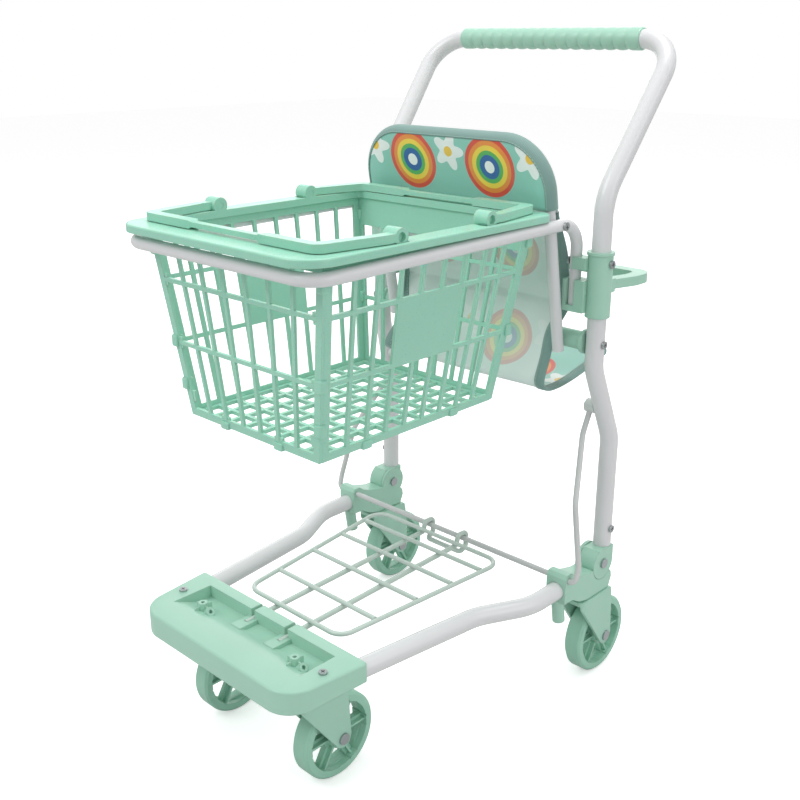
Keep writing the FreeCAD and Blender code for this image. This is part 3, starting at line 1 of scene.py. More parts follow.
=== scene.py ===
"""Looks of a doll's shopping trolley: powder-coated tubes, mint mouldings, a printed seat."""
import json
import math

import bmesh
import bpy
import numpy as np
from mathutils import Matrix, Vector

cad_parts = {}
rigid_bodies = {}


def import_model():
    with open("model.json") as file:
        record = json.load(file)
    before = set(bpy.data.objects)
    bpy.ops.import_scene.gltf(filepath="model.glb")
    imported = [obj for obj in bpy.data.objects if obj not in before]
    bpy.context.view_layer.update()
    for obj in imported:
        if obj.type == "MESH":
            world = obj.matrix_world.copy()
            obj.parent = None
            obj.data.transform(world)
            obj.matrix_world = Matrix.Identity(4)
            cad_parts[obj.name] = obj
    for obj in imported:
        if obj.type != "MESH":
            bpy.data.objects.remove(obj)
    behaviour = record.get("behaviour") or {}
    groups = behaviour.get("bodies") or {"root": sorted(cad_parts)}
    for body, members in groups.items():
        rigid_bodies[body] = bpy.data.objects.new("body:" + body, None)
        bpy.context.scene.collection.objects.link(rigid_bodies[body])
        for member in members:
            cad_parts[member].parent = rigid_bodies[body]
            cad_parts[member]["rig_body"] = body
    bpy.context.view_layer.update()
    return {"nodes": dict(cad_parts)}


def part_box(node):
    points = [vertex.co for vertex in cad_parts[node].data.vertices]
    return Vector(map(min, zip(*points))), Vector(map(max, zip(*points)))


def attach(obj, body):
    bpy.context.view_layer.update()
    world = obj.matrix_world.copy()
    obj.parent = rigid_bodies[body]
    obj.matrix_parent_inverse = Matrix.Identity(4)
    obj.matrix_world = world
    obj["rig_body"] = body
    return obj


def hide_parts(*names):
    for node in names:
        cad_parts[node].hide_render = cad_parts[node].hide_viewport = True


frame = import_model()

MM = 0.001

# ---------------------------------------------------------------- powder-coated tubes
# The frame is bent from 16 mm steel tube, the basket hoop and the backrest from 10 mm. They
# are degreased, sprayed with white polyester powder and baked, which leaves a satin skin.
TUBE_NODES = ("side_tube_left", "side_tube_right", "upright_left", "upright_right",
              "handle_tube", "basket_hoop", "backrest_tube")
POWDER_GRAIN = 1.6 * MM
CRISP_ANGLE = math.radians(32.0)
SAME_POINT = 0.002 * MM
DRIFT_SCALE, DRIFT_DETAIL = 14.0, 2.0
GRAIN_DETAIL, GRAIN_LOW, GRAIN_HIGH, GRAIN_HEIGHT = 3.0, 0.3, 0.7, 0.02 * MM


def linear(colour):
    """An sRGB hex colour as linear RGBA: each channel c above 0.04045 becomes
    ((c + 0.055) / 1.055) ** 2.4, and the rest c / 12.92."""
    parts = [int(colour[i:i + 2], 16) / 255 for i in (1, 3, 5)]
    return [c / 12.92 if c <= 0.04045 else ((c + 0.055) / 1.055) ** 2.4 for c in parts] + [1.0]


def add(tree, kind, links=(), **settings):
    """A node of that kind. Settings name its properties or, as in_N, its input N; links are
    (input, socket)."""
    made = tree.nodes.new(kind)
    for key, value in settings.items():
        if key.startswith("in_"):
            made.inputs[int(key[3:])].default_value = value
        else:
            setattr(made, key, value)
    for spot, socket in links:
        tree.links.new(socket, made.inputs[spot])
    return made


def finish_of(name, colour, roughness, **shader):
    """A material with one plain shader, and its tree and shader for what is added to it."""
    made = bpy.data.materials.new(name)
    made.use_nodes = True
    skin = made.node_tree.nodes["Principled BSDF"]
    skin.inputs["Base Color"].default_value = linear(colour)
    skin.inputs["Roughness"].default_value = roughness
    for key, value in shader.items():
        skin.inputs[key.replace("_", " ")].default_value = value
    made.diffuse_color = linear(colour)
    return made, made.node_tree, skin


def mottled(name, colour, roughness, shades, size, gloss, bump, edge=0.0, **shader):
    """A finish whose colour drifts slowly between two shades, with grain of a real size in its
    gloss (from, to) and height. Given an edge radius, edges catch the light as if rounded."""
    made, tree, skin = finish_of(name, colour, roughness, **shader)
    where = add(tree, "ShaderNodeTexCoord").outputs["Object"]
    drift = add(tree, "ShaderNodeTexNoise", [("Vector", where)], in_2=DRIFT_SCALE,
                in_3=DRIFT_DETAIL)
    shade = add(tree, "ShaderNodeMix", [(0, drift.outputs[0])], data_type="RGBA",
                in_6=linear(shades[0]), in_7=linear(shades[1]))
    tree.links.new(shade.outputs[2], skin.inputs["Base Color"])
    grain = add(tree, "ShaderNodeTexNoise", [("Vector", where)], in_2=1 / size,
                in_3=GRAIN_DETAIL)
    shine = add(tree, "ShaderNodeMapRange", [(0, grain.outputs[0])], in_1=GRAIN_LOW,
                in_2=GRAIN_HIGH, in_3=gloss[0], in_4=gloss[1])
    tree.links.new(shine.outputs[0], skin.inputs["Roughness"])
    height = add(tree, "ShaderNodeBump", [("Height", grain.outputs[0])], in_0=bump,
                 in_1=GRAIN_HEIGHT)
    if edge:
        soft = add(tree, "ShaderNodeBevel", samples=6, in_0=edge)
        tree.links.new(soft.outputs[0], height.inputs["Normal"])
    tree.links.new(height.outputs[0], skin.inputs["Normal"])
    return made


def placed(name, mesh, body):
    """A piece for a mesh, at the origin, riding on a body."""
    piece = bpy.data.objects.new(name, mesh)
    bpy.context.scene.collection.objects.link(piece)
    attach(piece, body)
    return piece


def dress(node, made):
    """A shown copy of a CAD solid: doubled points merged, curves shaded round, edges that turn
    by the crisp angle or more kept sharp."""
    source = frame["nodes"][node]
    mesh = source.data.copy()
    work = bmesh.new()
    work.from_mesh(mesh)
    bmesh.ops.remove_doubles(work, verts=work.verts, dist=SAME_POINT)
    for edge in work.edges:
        edge.smooth = edge.calc_face_angle(math.pi) < CRISP_ANGLE
    for face in work.faces:
        face.smooth = True
        face.material_index = 0
    work.to_mesh(mesh)
    work.free()
    if "custom_normal" in mesh.attributes:
        mesh.attributes.remove(mesh.attributes["custom_normal"])
    mesh.materials.clear()
    mesh.materials.append(made)
    piece = placed(node + "_skin", mesh, source["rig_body"])
    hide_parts(node)
    return piece


# satin polyester powder: dielectric, IOR 1.5, a faint orange peel of about 1.6 mm
powder_coat = mottled("white_polyester_powder_coat", "#dcdcde", 0.3, ("#dedee0", "#d9dadb"),
                      POWDER_GRAIN, (0.2, 0.24), 0.03)
for name in TUBE_NODES:
    dress(name, powder_coat)

# ---------------------------------------------------------------- frame mouldings
# Tray, brackets, knuckles, collars, bumper and seat bar are injection-moulded polypropylene,
# coloured mint in the mass, and the stay's snap clips are left milky. The mould's fine spark
# texture makes them satin, with soft edges.
MOULDED_NODES = ("front_tray", "bracket_left", "bracket_right", "knuckle_left",
                 "knuckle_right", "collar_left", "collar_right", "bumper_bar", "seat_bar")
SPARK_GRAIN = 1.1 * MM
MOULD_EDGE = 1.1 * MM
GLOW_DEPTH = 0.004
BLOCK_LEVELS, BLOCK_AROUND = 13, 24
POST_X, POST_Y = 58.5, -172.0
WEB_LEVEL, WEB_OUT, WEB_LONG, WEB_THIN, WEB_TALL = 114.0, 5.6, 3.0, 0.7, 3.6

# polypropylene, IOR 1.5: light goes a little way in, so that shadows stay soft
polypropylene = mottled("mint_moulded_polypropylene", "#a6d2be", 0.4, ("#aad5c2", "#a1ceb9"),
                        SPARK_GRAIN, (0.3, 0.38), 0.15, MOULD_EDGE,
                        Subsurface_Weight=0.05, Subsurface_Scale=GLOW_DEPTH)
for name in MOULDED_NODES:
    dress(name, polypropylene)
natural_resin = mottled("natural_milky_polypropylene", "#d3d9d6", 0.4, ("#d8dddb", "#ced5d2"),
                        SPARK_GRAIN, (0.3, 0.38), 0.15, MOULD_EDGE,
                        Subsurface_Weight=0.05, Subsurface_Scale=GLOW_DEPTH)
for name in ("stay_clip_left", "stay_clip_right"):
    dress(name, natural_resin)


def ring_faces(rows, around, looped=False):
    """Quads between neighbouring rows of a grid whose rows close round; looped also joins the
    last row to the first."""
    spots = np.arange(rows * around).reshape(rows, around)
    after = np.roll(spots, -1, axis=1)
    quads = np.stack([spots, after, np.roll(after, -1, axis=0), np.roll(spots, -1, axis=0)],
                     axis=-1)
    return (quads if looped else quads[:-1]).reshape(-1, 4)


def shaped(name, points, faces, made, body, curved=True):
    """A new solid piece from points in millimetres and the point numbers of its faces: doubled
    points merged, faces turned outwards."""
    mesh = bpy.data.meshes.new(name)
    mesh.from_pydata((points.reshape(-1, 3) * MM).tolist(), [], faces)
    work = bmesh.new()
    work.from_mesh(mesh)
    bmesh.ops.remove_doubles(work, verts=work.verts, dist=SAME_POINT / 2)
    bmesh.ops.recalc_face_normals(work, faces=work.faces)
    for face in work.faces:
        face.smooth = curved
    work.to_mesh(mesh)
    work.free()
    mesh.materials.append(made)
    return placed(name, mesh, body)


def soft_blocks(name, centres, halves, power, made, body):
    """Soft-cornered blocks: a superellipsoid, each half-size times the sines and cosines of two
    angles raised to a small power, one per centre."""
    level = np.linspace(-math.pi / 2, math.pi / 2, BLOCK_LEVELS)[:, None]
    angle = np.linspace(0, 2 * math.pi, BLOCK_AROUND, endpoint=False)[None]

    def eased(wave):
        """The wave's size raised to the power, with its sign kept."""
        return np.sign(wave) * np.abs(wave) ** power

    shape = np.stack([eased(np.cos(level)) * eased(np.cos(angle)),
                      eased(np.cos(level)) * eased(np.sin(angle)),
                      eased(np.sin(level)) + 0 * angle], axis=-1).reshape(-1, 3)
    points = np.array(centres)[:, None] + shape * np.array(halves)[:, None]
    starts = len(shape) * np.arange(len(centres))[:, None, None]
    faces = (ring_faces(BLOCK_LEVELS, BLOCK_AROUND) + starts).reshape(-1, 4)
    return shaped(name, points, faces.tolist(), made, body)


# four webs brace the foot of each upright post in the tray's recess
webs, web_halves = [], []
for post_x in (-POST_X, POST_X):
    for step_x, step_y in ((-1, 0), (1, 0), (0, -1), (0, 1)):
        webs.append((post_x + WEB_OUT * step_x, POST_Y + WEB_OUT * step_y, WEB_LEVEL))
        web_halves.append((WEB_LONG, WEB_THIN, WEB_TALL) if step_x
                          else (WEB_THIN, WEB_LONG, WEB_TALL))
soft_blocks("tray_post_webs", webs, web_halves, 0.3, polypropylene, "frame")

# ---------------------------------------------------------------- grip
# A soft sleeve moulded in one with finger ribs 12 mm apart, deepest below, shallow on top and
# plain at its two ends. It is pushed on the handle tube while warm.
GRIP_Y, GRIP_Z, GRIP_RADIUS, GRIP_HALF, TUBE_RADIUS = 201.5, 565.5, 9.4, 98.0, 8.0
RIB_PITCH, RIB_DEPTH, RIB_POWER, PLAIN_END, RIB_FADE = 12.0, 1.5, 0.7, 8.0, 3.0
GRIP_ROUND, GRIP_LIP, GRIP_SINK = 1.6, 0.1, 0.2
ROUND_STEPS, RIB_STEPS, GRIP_AROUND = 6, 381, 48


def surface(name, points, made, body):
    """A closed piece from a grid of points in millimetres whose columns run round it and whose
    last row joins its first."""
    return shaped(name, points, ring_faces(*points.shape[:2], looped=True).tolist(), made,
                  body)


# the outer skin from end to end, each end rounded by a quarter ellipse
quarter = np.linspace(0, math.pi / 2, ROUND_STEPS)
along = np.concatenate([-GRIP_HALF + GRIP_ROUND * (1 - np.cos(quarter)),
                        np.linspace(-GRIP_HALF + GRIP_ROUND, GRIP_HALF - GRIP_ROUND,
                                    RIB_STEPS)[1:-1],
                        GRIP_HALF - GRIP_ROUND * (1 - np.sin(quarter))])
from_end = np.clip((GRIP_HALF - np.abs(along)) / GRIP_ROUND, 0, 1)
skin_radius = (GRIP_RADIUS - (GRIP_RADIUS - TUBE_RADIUS - GRIP_LIP)
               * (1 - np.sqrt(1 - (1 - from_end) ** 2)))
# the valley between two ribs is one less a sine's size to a power, at its whole depth below
# and at a quarter of it on top
ribbed = np.clip((GRIP_HALF - PLAIN_END - np.abs(along)) / RIB_FADE, 0, 1)
valley = ribbed * (1 - np.abs(np.sin(math.pi * along / RIB_PITCH)) ** RIB_POWER)
angle = np.linspace(0, 2 * math.pi, GRIP_AROUND, endpoint=False)
side_share = 0.25 + 0.75 * np.clip(0.6 - np.sin(angle), 0, 1)
radius = skin_radius[:, None] - RIB_DEPTH * valley[:, None] * side_share
# then back along the bore
radius = np.concatenate([radius, np.full((2, GRIP_AROUND), TUBE_RADIUS - GRIP_SINK)])
along = np.concatenate([along, [GRIP_HALF, -GRIP_HALF]])
grip_points = np.stack([along[:, None] + 0 * angle, GRIP_Y + radius * np.cos(angle),
                        GRIP_Z + radius * np.sin(angle)], axis=-1)
grip = surface("handle_grip_skin", grip_points, polypropylene, "frame")
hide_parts("handle_grip")

# ---------------------------------------------------------------- rack and stay wires
# The rack is steel wire of 4 and 4.6 mm, spot welded and dipped in pale green paint, and the
# 5 mm stay that ties the uprights is dipped in pale grey. Dipping leaves the paint thick and
# glossy.
WIRE_GRAIN = 2.2 * MM
dipped_green = mottled("pale_green_dipped_wire", "#c6d5cd", 0.3, ("#cad9d1", "#c0d0c8"),
                       WIRE_GRAIN, (0.2, 0.28), 0.06)
for name in ("rack_frame", "rack_rungs", "rack_rails"):
    dress(name, dipped_green)
dipped_grey = mottled("pale_grey_dipped_wire", "#d4d6d6", 0.3, ("#d0d3d2", "#c5c8c7"),
                      WIRE_GRAIN, (0.2, 0.28), 0.06)
dress("stay_wire", dipped_grey)

# ---------------------------------------------------------------- casters
# Four swivel casters. Fork and one-piece wheel are mint polypropylene, the wheel a shade deeper
# and a little glossier than the frame mouldings. Kingpins and axles are zinc-plated.
CORNERS = ("front_left", "front_right", "rear_left", "rear_right")
ZINC_GRAIN, ZINC_EDGE = 0.6 * MM, 0.15 * MM
wheel_plastic = mottled("mint_wheel_polypropylene", "#9ccfb8", 0.36, ("#a0d2bc", "#96cab2"),
                        SPARK_GRAIN, (0.28, 0.36), 0.15, MOULD_EDGE,
                        Subsurface_Weight=0.06, Subsurface_Scale=GLOW_DEPTH)
# barrel-plated zinc: grey metal, each fine crystal a little brighter or duller than the next
zinc = mottled("zinc_plated_steel", "#b4b7b9", 0.34, ("#c0c3c4", "#a3a7a9"), ZINC_GRAIN,
               (0.26, 0.42), 0.3, ZINC_EDGE, Metallic=1.0)
for corner in CORNERS:
    dress("fork_" + corner, polypropylene)
    dress("wheel_" + corner, wheel_plastic)
    dress("kingpin_" + corner, zinc)
    dress("axle_" + corner, zinc)

# ---------------------------------------------------------------- screws and hinge pins
# Cross-head screws and the knuckles' hinge pins, of the same zinc-plated steel as the kingpins,
# with their heads sunk into the mouldings or drawn down on the tubes. The driver's cross in
# each of these heads and in the axles' ends is painted shade: dark bars laid on the head
# stand for the shade inside the pressed recess.
HEAD_REACH, CROSS_LONG, CROSS_SLIM, CROSS_HIGH, CROSS_PROUD = 3.6, 1.9, 0.36, 0.16, 0.02
for name in ("tray_screws", "upright_screws", "collar_screws", "hoop_screws",
             "hinge_pin_left", "hinge_pin_right"):
    dress(name, zinc)
# painted shade: the cross bars are dark and dull to stand for the shade inside a pressed recess
painted_recess_shade = mottled("painted_shade_cross_recess", "#4d5052", 0.5, ("#55585a", "#424547"),
                       ZINC_GRAIN, (0.45, 0.6), 0.2, Metallic=0.6)


def cross_recess(node, axis, spots):
    """The cross in each head of a node, as painted shade: two slim dark soft bars laid on the
    outermost point that the node has along an axis, each way that it has a head, near a spot of
    the other two axes, standing for the shade in the recess."""
    vertices = frame["nodes"][node].data.vertices
    flat = np.empty(3 * len(vertices))
    vertices.foreach_get("co", flat)
    points = flat.reshape(-1, 3) / MM
    first, second = [i for i in range(3) if i != axis]
    centres, halves = [], []
    for a, b in spots:
        near = np.hypot(points[:, first] - a, points[:, second] - b) < HEAD_REACH
        for sign in ((1,) if axis == 2 else (-1, 1)):
            head = near & (sign * points[:, axis] > 0)
            if not head.any():
                continue
            centre = [0.0, 0.0, 0.0]
            centre[first], centre[second] = a, b
            centre[axis] = sign * ((sign * points[head, axis]).max() + CROSS_PROUD)
            for long_way in (first, second):
                half = [CROSS_SLIM] * 3
                half[long_way], half[axis] = CROSS_LONG, CROSS_HIGH
                centres.append(centre)
                halves.append(half)
    # dark bars of painted shade where the recess would be
    soft_blocks(node + "_cross", centres, halves, 0.5, painted_recess_shade,
                frame["nodes"][node]["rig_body"])


# heads by (y, z) on the uprights, collars and hoop, and by (x, y) on the tray
cross_recess("upright_screws", 0, ((133.0, 147.5), (113.2, 322.5)))
cross_recess("collar_screws", 0, ((113.2, 391.5),))
cross_recess("hoop_screws", 0, ((81.0, 423.1),))
cross_recess("tray_screws", 2, ((-88.8, -170.5), (88.8, -170.5)))
for name in ("hinge_pin_left", "hinge_pin_right", *("axle_" + corner for corner in CORNERS)):
    low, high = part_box(name)
    cross_recess(name, 0, (((low.y + high.y) / 2 / MM, (low.z + high.z) / 2 / MM),))

# ---------------------------------------------------------------- basket and its two bails
# A lift-out basket of six clipped parts, with a blank label field in each side wall, and two
# carrying bails that fold down on the rim. All are thin mint polypropylene that lets a little
# light through.
BASKET_EDGE = 0.5 * MM
basket_plastic = mottled("mint_basket_polypropylene", "#9cd6c0", 0.4, ("#a0d8c3", "#96d0b9"),
                         SPARK_GRAIN, (0.26, 0.36), 0.15, BASKET_EDGE,
                         Subsurface_Weight=0.2, Subsurface_Scale=GLOW_DEPTH)
for name in ("basket_floor", "basket_front", "basket_rear", "basket_left", "basket_right",
             "basket_rim"):
    dress(name, basket_plastic)

# each bail's cross bar is slimmer over its middle, where the hand closes round it: cut at each
# end of that length and again a step further out, then scaled about its own middle
GRIP_REACH, STEP = 38.0 * MM, 1.5 * MM
SLIM_DEEP, SLIM_HIGH = 0.7, 0.62
for name in ("bail_front", "bail_rear"):
    bail = dress(name, basket_plastic)
    work = bmesh.new()
    work.from_mesh(bail.data)
    for place in (-GRIP_REACH - STEP, -GRIP_REACH, GRIP_REACH, GRIP_REACH + STEP):
        bmesh.ops.bisect_plane(work, geom=work.verts[:] + work.edges[:] + work.faces[:],
                               dist=1e-7, plane_co=(place, 0, 0), plane_no=(1, 0, 0))
    work.to_mesh(bail.data)
    work.free()
    flat = np.empty(3 * len(bail.data.vertices), np.float32)
    bail.data.vertices.foreach_get("co", flat)
    points = flat.reshape(-1, 3).astype(float)
    slim = np.abs(points[:, 0]) < GRIP_REACH + STEP / 2
    middle = (points[slim].max(axis=0) + points[slim].min(axis=0)) / 2
    points[slim] = middle + (points[slim] - middle) * (1.0, SLIM_DEEP, SLIM_HIGH)
    bail.data.vertices.foreach_set("co", points.astype(np.float32).reshape(-1))
    bail.data.update()

# small clips that lock the panels at the corners and along the bottom edges
FLOOR_LEVEL, WALL_TALL, CLIP_LEVEL = 280.0, 149.5, 281.5
CORNER_X, CORNER_SPREAD = 74.6, 23.4
# a corner's y at the floor, and how far it leans out over the wall's height
FRONT_CORNER, REAR_CORNER = (-155.4, -12.7), (36.4, 17.6)
CORNER_CLIP, FRONT_CLIP, SIDE_CLIP = (3.6, 3.6, 5.0), (5.0, 2.4, 3.2), (2.4, 5.0, 3.2)
clips = []
for height, corners in ((306.0, (FRONT_CORNER,)), (341.0, (FRONT_CORNER, REAR_CORNER)),
                        (414.0, (FRONT_CORNER, REAR_CORNER))):
    share = (height - FLOOR_LEVEL) / WALL_TALL
    clips += [((side * (CORNER_X + CORNER_SPREAD * share), y + rake * share, height),
               CORNER_CLIP) for y, rake in corners for side in (-1, 1)]
clips += [((x, -156.6, CLIP_LEVEL), FRONT_CLIP) for x in (-32.0, 32.0)]
clips += [((x, y, CLIP_LEVEL), SIDE_CLIP) for y in (-110.0, -12.0) for x in (-75.6, 75.6)]
places, sizes = zip(*clips)
soft_blocks("basket_clips", places, sizes, 0.35, basket_plastic, "basket")

# ---------------------------------------------------------------- doll seat
# A coated polyester cloth, printed on the side that the doll leans on. It hangs from the
# backrest tube in a sewn sleeve, runs down behind the legs, in front of the seat bar, and makes
# the pan. Its edges are bound in tape, and a rivet sits in each rear corner.
SEAT_BAR_Z, LEG_Y, LEAN = 322.5, 99.9, math.atan(0.18566)
CLOTH = 1.2
SLEEVE_HALF, SLEEVE_TOP, SLEEVE_HEM, SLEEVE_CORNER = 102.6, 173.8, 116.0, 44.6
LOWER_HALF, BETWEEN_LEGS = 97.6, 88.6
PUFF, PUFF_RUN = 6.4, 7.0
HOLLOW, HOLLOW_START, HOLLOW_RUN = 3.2, 9.0, 38.0
FOLD_START, FOLD_RUN, FOLD_REACH = 6.0, 10.0, 34.0
DRAWN_FOLDS = ((0.45, 7.5, 0.6), (0.35, 4.1, 2.0))
ACROSS_STEPS, FLAP_STEPS, UPPER_STEPS, LOWER_STEPS = 73, 40, 80, 96


def smooth_step(value):
    """0 below 0, 1 above 1, and 3 v^2 - 2 v^3 between."""
    v = np.clip(value, 0.0, 1.0)
    return v * v * (3 - 2 * v)


def leaning(x, t, off):
    """Points of the backrest's leaning plane: x across, t up the slope from the seat bar, off
    towards the front."""
    return np.stack([x, LEG_Y - t * math.sin(LEAN) - off * math.cos(LEAN),
                     SEAT_BAR_Z + t * math.cos(LEAN) - off * math.sin(LEAN)], axis=-1)


def arch_half(t):
    """Half-width of the arch: straight sides, then a quarter circle of the corner's radius."""
    rise = np.clip(t - (SLEEVE_TOP - SLEEVE_CORNER), 0.0, SLEEVE_CORNER)
    return SLEEVE_HALF - SLEEVE_CORNER + np.sqrt(SLEEVE_CORNER ** 2 - rise ** 2)


def from_seam(x, t):
    """Distance from a point of the arch to its seam: to the arc in a corner, and elsewhere to
    the side or the top, whichever is nearer."""
    cx, ct = SLEEVE_HALF - SLEEVE_CORNER, SLEEVE_TOP - SLEEVE_CORNER
    corner = SLEEVE_CORNER - np.hypot(np.maximum(np.abs(x) - cx, 0), np.maximum(t - ct, 0))
    straight = np.minimum(SLEEVE_HALF - np.abs(x), SLEEVE_TOP - t)
    return np.clip(np.where((np.abs(x) > cx) & (t > ct), corner, straight), 0, None)


def puff(x, t):
    """Height of the sleeve's cloth over its middle plane: a quarter ellipse over the tube, then
    a slow hollow, and shallow sine folds that fade down from the top tube."""
    d = from_seam(x, t)
    rise = PUFF * np.sqrt(1 - (1 - np.clip(d / PUFF_RUN, 0, 1)) ** 2)
    hollow = HOLLOW * smooth_step((d - HOLLOW_START) / HOLLOW_RUN)
    fade = (smooth_step((d - FOLD_START) / FOLD_RUN)
            * np.exp(-((SLEEVE_TOP - t) / FOLD_REACH) ** 2))
    folds = sum(deep * np.sin(x / run + start) for deep, run, start in DRAWN_FOLDS)
    return rise - hollow + fade * folds


def cloth_mesh(name, points, print_uv, materials, thick):
    """A sheet from a grid of points (rows, columns, 3) in millimetres, with its print laid in
    real sizes: one unit of the UV map is 100 mm. Solidify gives it two faces and a rim."""
    rows, columns = points.shape[:2]
    spots = np.arange(rows * columns).reshape(rows, columns)
    quads = np.stack([spots[:-1, :-1], spots[:-1, 1:], spots[1:, 1:], spots[1:, :-1]],
                     axis=-1).reshape(-1, 4)
    mesh = bpy.data.meshes.new(name)
    mesh.from_pydata((points.reshape(-1, 3) * MM).tolist(), [], quads.tolist())
    corner_uv = (print_uv.reshape(-1, 2) / 100)[quads.reshape(-1)]
    mesh.uv_layers.new(name="print").data.foreach_set("uv", corner_uv.reshape(-1))
    mesh.polygons.foreach_set("use_smooth", np.ones(len(quads), bool))
    for made in materials:
        mesh.materials.append(made)
    piece = placed(name, mesh, "frame")
    shell = piece.modifiers.new("thickness", "SOLIDIFY")
    shell.thickness = thick * MM
    shell.offset = 0.0
    shell.material_offset = 1
    shell.material_offset_rim = 1
    return piece


# coated polyester: a thin clear film over fine cloth, IOR 1.5, softly glossy. The print is
# worked out from its repeat, in units of 100 mm: ringed dots in a square lattice, five-petal
# flowers between them.
REPEAT, DOT, FLOWER, EYE = 0.86, 0.26, 0.17, 0.26
DOT_SHIFT, FLOWER_SHIFT = (0.0, 0.21, 0.5), (0.5, 0.33, 0.5)
RINGS = ((0.0, "#f4f6f4"), (0.2, "#2760a5"), (0.4, "#58b25c"), (0.54, "#f7d648"),
         (0.7, "#f0903c"), (0.85, "#e0503f"))
PETALS, PETAL_WAVE = 5.0, 0.22
WEAR, WEAR_SCALE, WEAR_DETAIL = 0.12, 6.0, 3.0
WEAVE_SCALE, WEAVE_STRENGTH, WEAVE_HEIGHT = 39.0, 0.35, 0.05 * MM


def printed_cloth(name, ground, lost, roughness):
    """The print on a ground colour, faded back to it by a share, on a woven and coated cloth.
    A dot is where the distance to the lattice's nearest point is under its radius; a flower's
    radius is its own times 0.78 + 0.22 cos(5 angle)."""
    made, tree, skin = finish_of(name, ground, roughness, Coat_Weight=0.25,
                                 Coat_Roughness=0.3, Sheen_Weight=0.1)
    spot = add(tree, "ShaderNodeUVMap", uv_map="print").outputs[0]

    def from_motif(shift, size):
        """The step from the nearest point of a square lattice, and its length over a size."""
        moved = add(tree, "ShaderNodeVectorMath", [(0, spot)], operation="MULTIPLY_ADD",
                    in_1=[1 / REPEAT] * 3, in_2=shift)
        cell = add(tree, "ShaderNodeVectorMath", [(0, moved.outputs[0])],
                   operation="FRACTION")
        step = add(tree, "ShaderNodeVectorMath", [(0, cell.outputs[0])],
                   operation="SUBTRACT", in_1=[0.5] * 3)
        far = add(tree, "ShaderNodeVectorMath", [(0, step.outputs[0])], operation="LENGTH")
        share = add(tree, "ShaderNodeMath", [(0, far.outputs["Value"])],
                    operation="MULTIPLY", in_1=REPEAT / size)
        return step.outputs[0], share.outputs[0]

    dot_share = from_motif(DOT_SHIFT, DOT)[1]
    rings = add(tree, "ShaderNodeValToRGB", [(0, dot_share)])
    rings.color_ramp.interpolation = "CONSTANT"
    stops = rings.color_ramp.elements
    for place, (share, colour) in enumerate(RINGS):
        stop = stops[place] if place < 2 else stops.new(share)
        stop.position = share
        stop.color = linear(colour)
    in_dot = add(tree, "ShaderNodeMath", [(0, dot_share)], operation="LESS_THAN", in_1=1.0)

    petal_step, petal_share = from_motif(FLOWER_SHIFT, FLOWER)
    sides = add(tree, "ShaderNodeSeparateXYZ", [(0, petal_step)])
    turn = add(tree, "ShaderNodeMath", [(0, sides.outputs[1]), (1, sides.outputs[0])],
               operation="ARCTAN2")
    turns = add(tree, "ShaderNodeMath", [(0, turn.outputs[0])], operation="MULTIPLY",
                in_1=PETALS)
    wave = add(tree, "ShaderNodeMath", [(0, turns.outputs[0])], operation="COSINE")
    lobes = add(tree, "ShaderNodeMath", [(0, wave.outputs[0])], operation="MULTIPLY_ADD",
                in_1=PETAL_WAVE, in_2=1 - PETAL_WAVE)
    in_flower = add(tree, "ShaderNodeMath", [(0, petal_share), (1, lobes.outputs[0])],
                    operation="LESS_THAN")
    in_eye = add(tree, "ShaderNodeMath", [(0, petal_share)], operation="LESS_THAN", in_1=EYE)

    # each motif is laid over the colour below it, and the ground over all where the print fades
    shade = add(tree, "ShaderNodeMix", [(0, in_dot.outputs[0]), (7, rings.outputs[0])],
                data_type="RGBA", in_6=linear(ground))
    shade = add(tree, "ShaderNodeMix", [(0, in_flower.outputs[0]), (6, shade.outputs[2])],
                data_type="RGBA", in_7=linear("#eef3f1"))
    shade = add(tree, "ShaderNodeMix", [(0, in_eye.outputs[0]), (6, shade.outputs[2])],
                data_type="RGBA", in_7=linear("#f3c64a"))
    worn = add(tree, "ShaderNodeTexNoise", [("Vector", spot)], in_2=WEAR_SCALE,
               in_3=WEAR_DETAIL)
    fade = add(tree, "ShaderNodeMath", [(0, worn.outputs[0])], operation="MULTIPLY_ADD",
               in_1=WEAR, in_2=lost)
    shade = add(tree, "ShaderNodeMix", [(0, fade.outputs[0]), (6, shade.outputs[2])],
                data_type="RGBA", in_7=linear(ground))
    tree.links.new(shade.outputs[2], skin.inputs["Base Color"])
    # plain weave of 0.8 mm threads, coarser than the real 0.3 mm so that it shows
    warp, weft = (add(tree, "ShaderNodeTexWave", [("Vector", spot)], bands_direction=way,
                      in_1=WEAVE_SCALE) for way in "XY")
    weave = add(tree, "ShaderNodeMath", [(0, warp.outputs[1]), (1, weft.outputs[1])],
                operation="MULTIPLY")
    height = add(tree, "ShaderNodeBump", [("Height", weave.outputs[0])],
                 in_0=WEAVE_STRENGTH, in_1=WEAVE_HEIGHT)
    tree.links.new(height.outputs[0], skin.inputs["Normal"])
    return made


printed_face = printed_cloth("printed_coated_polyester", "#90cbbc", -0.04, 0.36)
cloth_back = printed_cloth("pale_reverse_of_polyester", "#dcebe6", 0.56, 0.5)

# the front flap of the sleeve, from its hem to the seam at the top
across = np.sin(np.linspace(-1, 1, ACROSS_STEPS) * math.pi / 2)
up = 1 - (1 - np.linspace(0, 1, FLAP_STEPS)) ** 2
t = (SLEEVE_HEM + (SLEEVE_TOP - SLEEVE_HEM) * up)[:, None] + 0 * across
x = arch_half(t) * across
flap_points = leaning(x, t, puff(x, t))
flap = cloth_mesh("seat_flap_cloth", flap_points, np.stack([x, -t], axis=-1),
                  (printed_face, cloth_back), CLOTH)
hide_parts("seat_backrest")

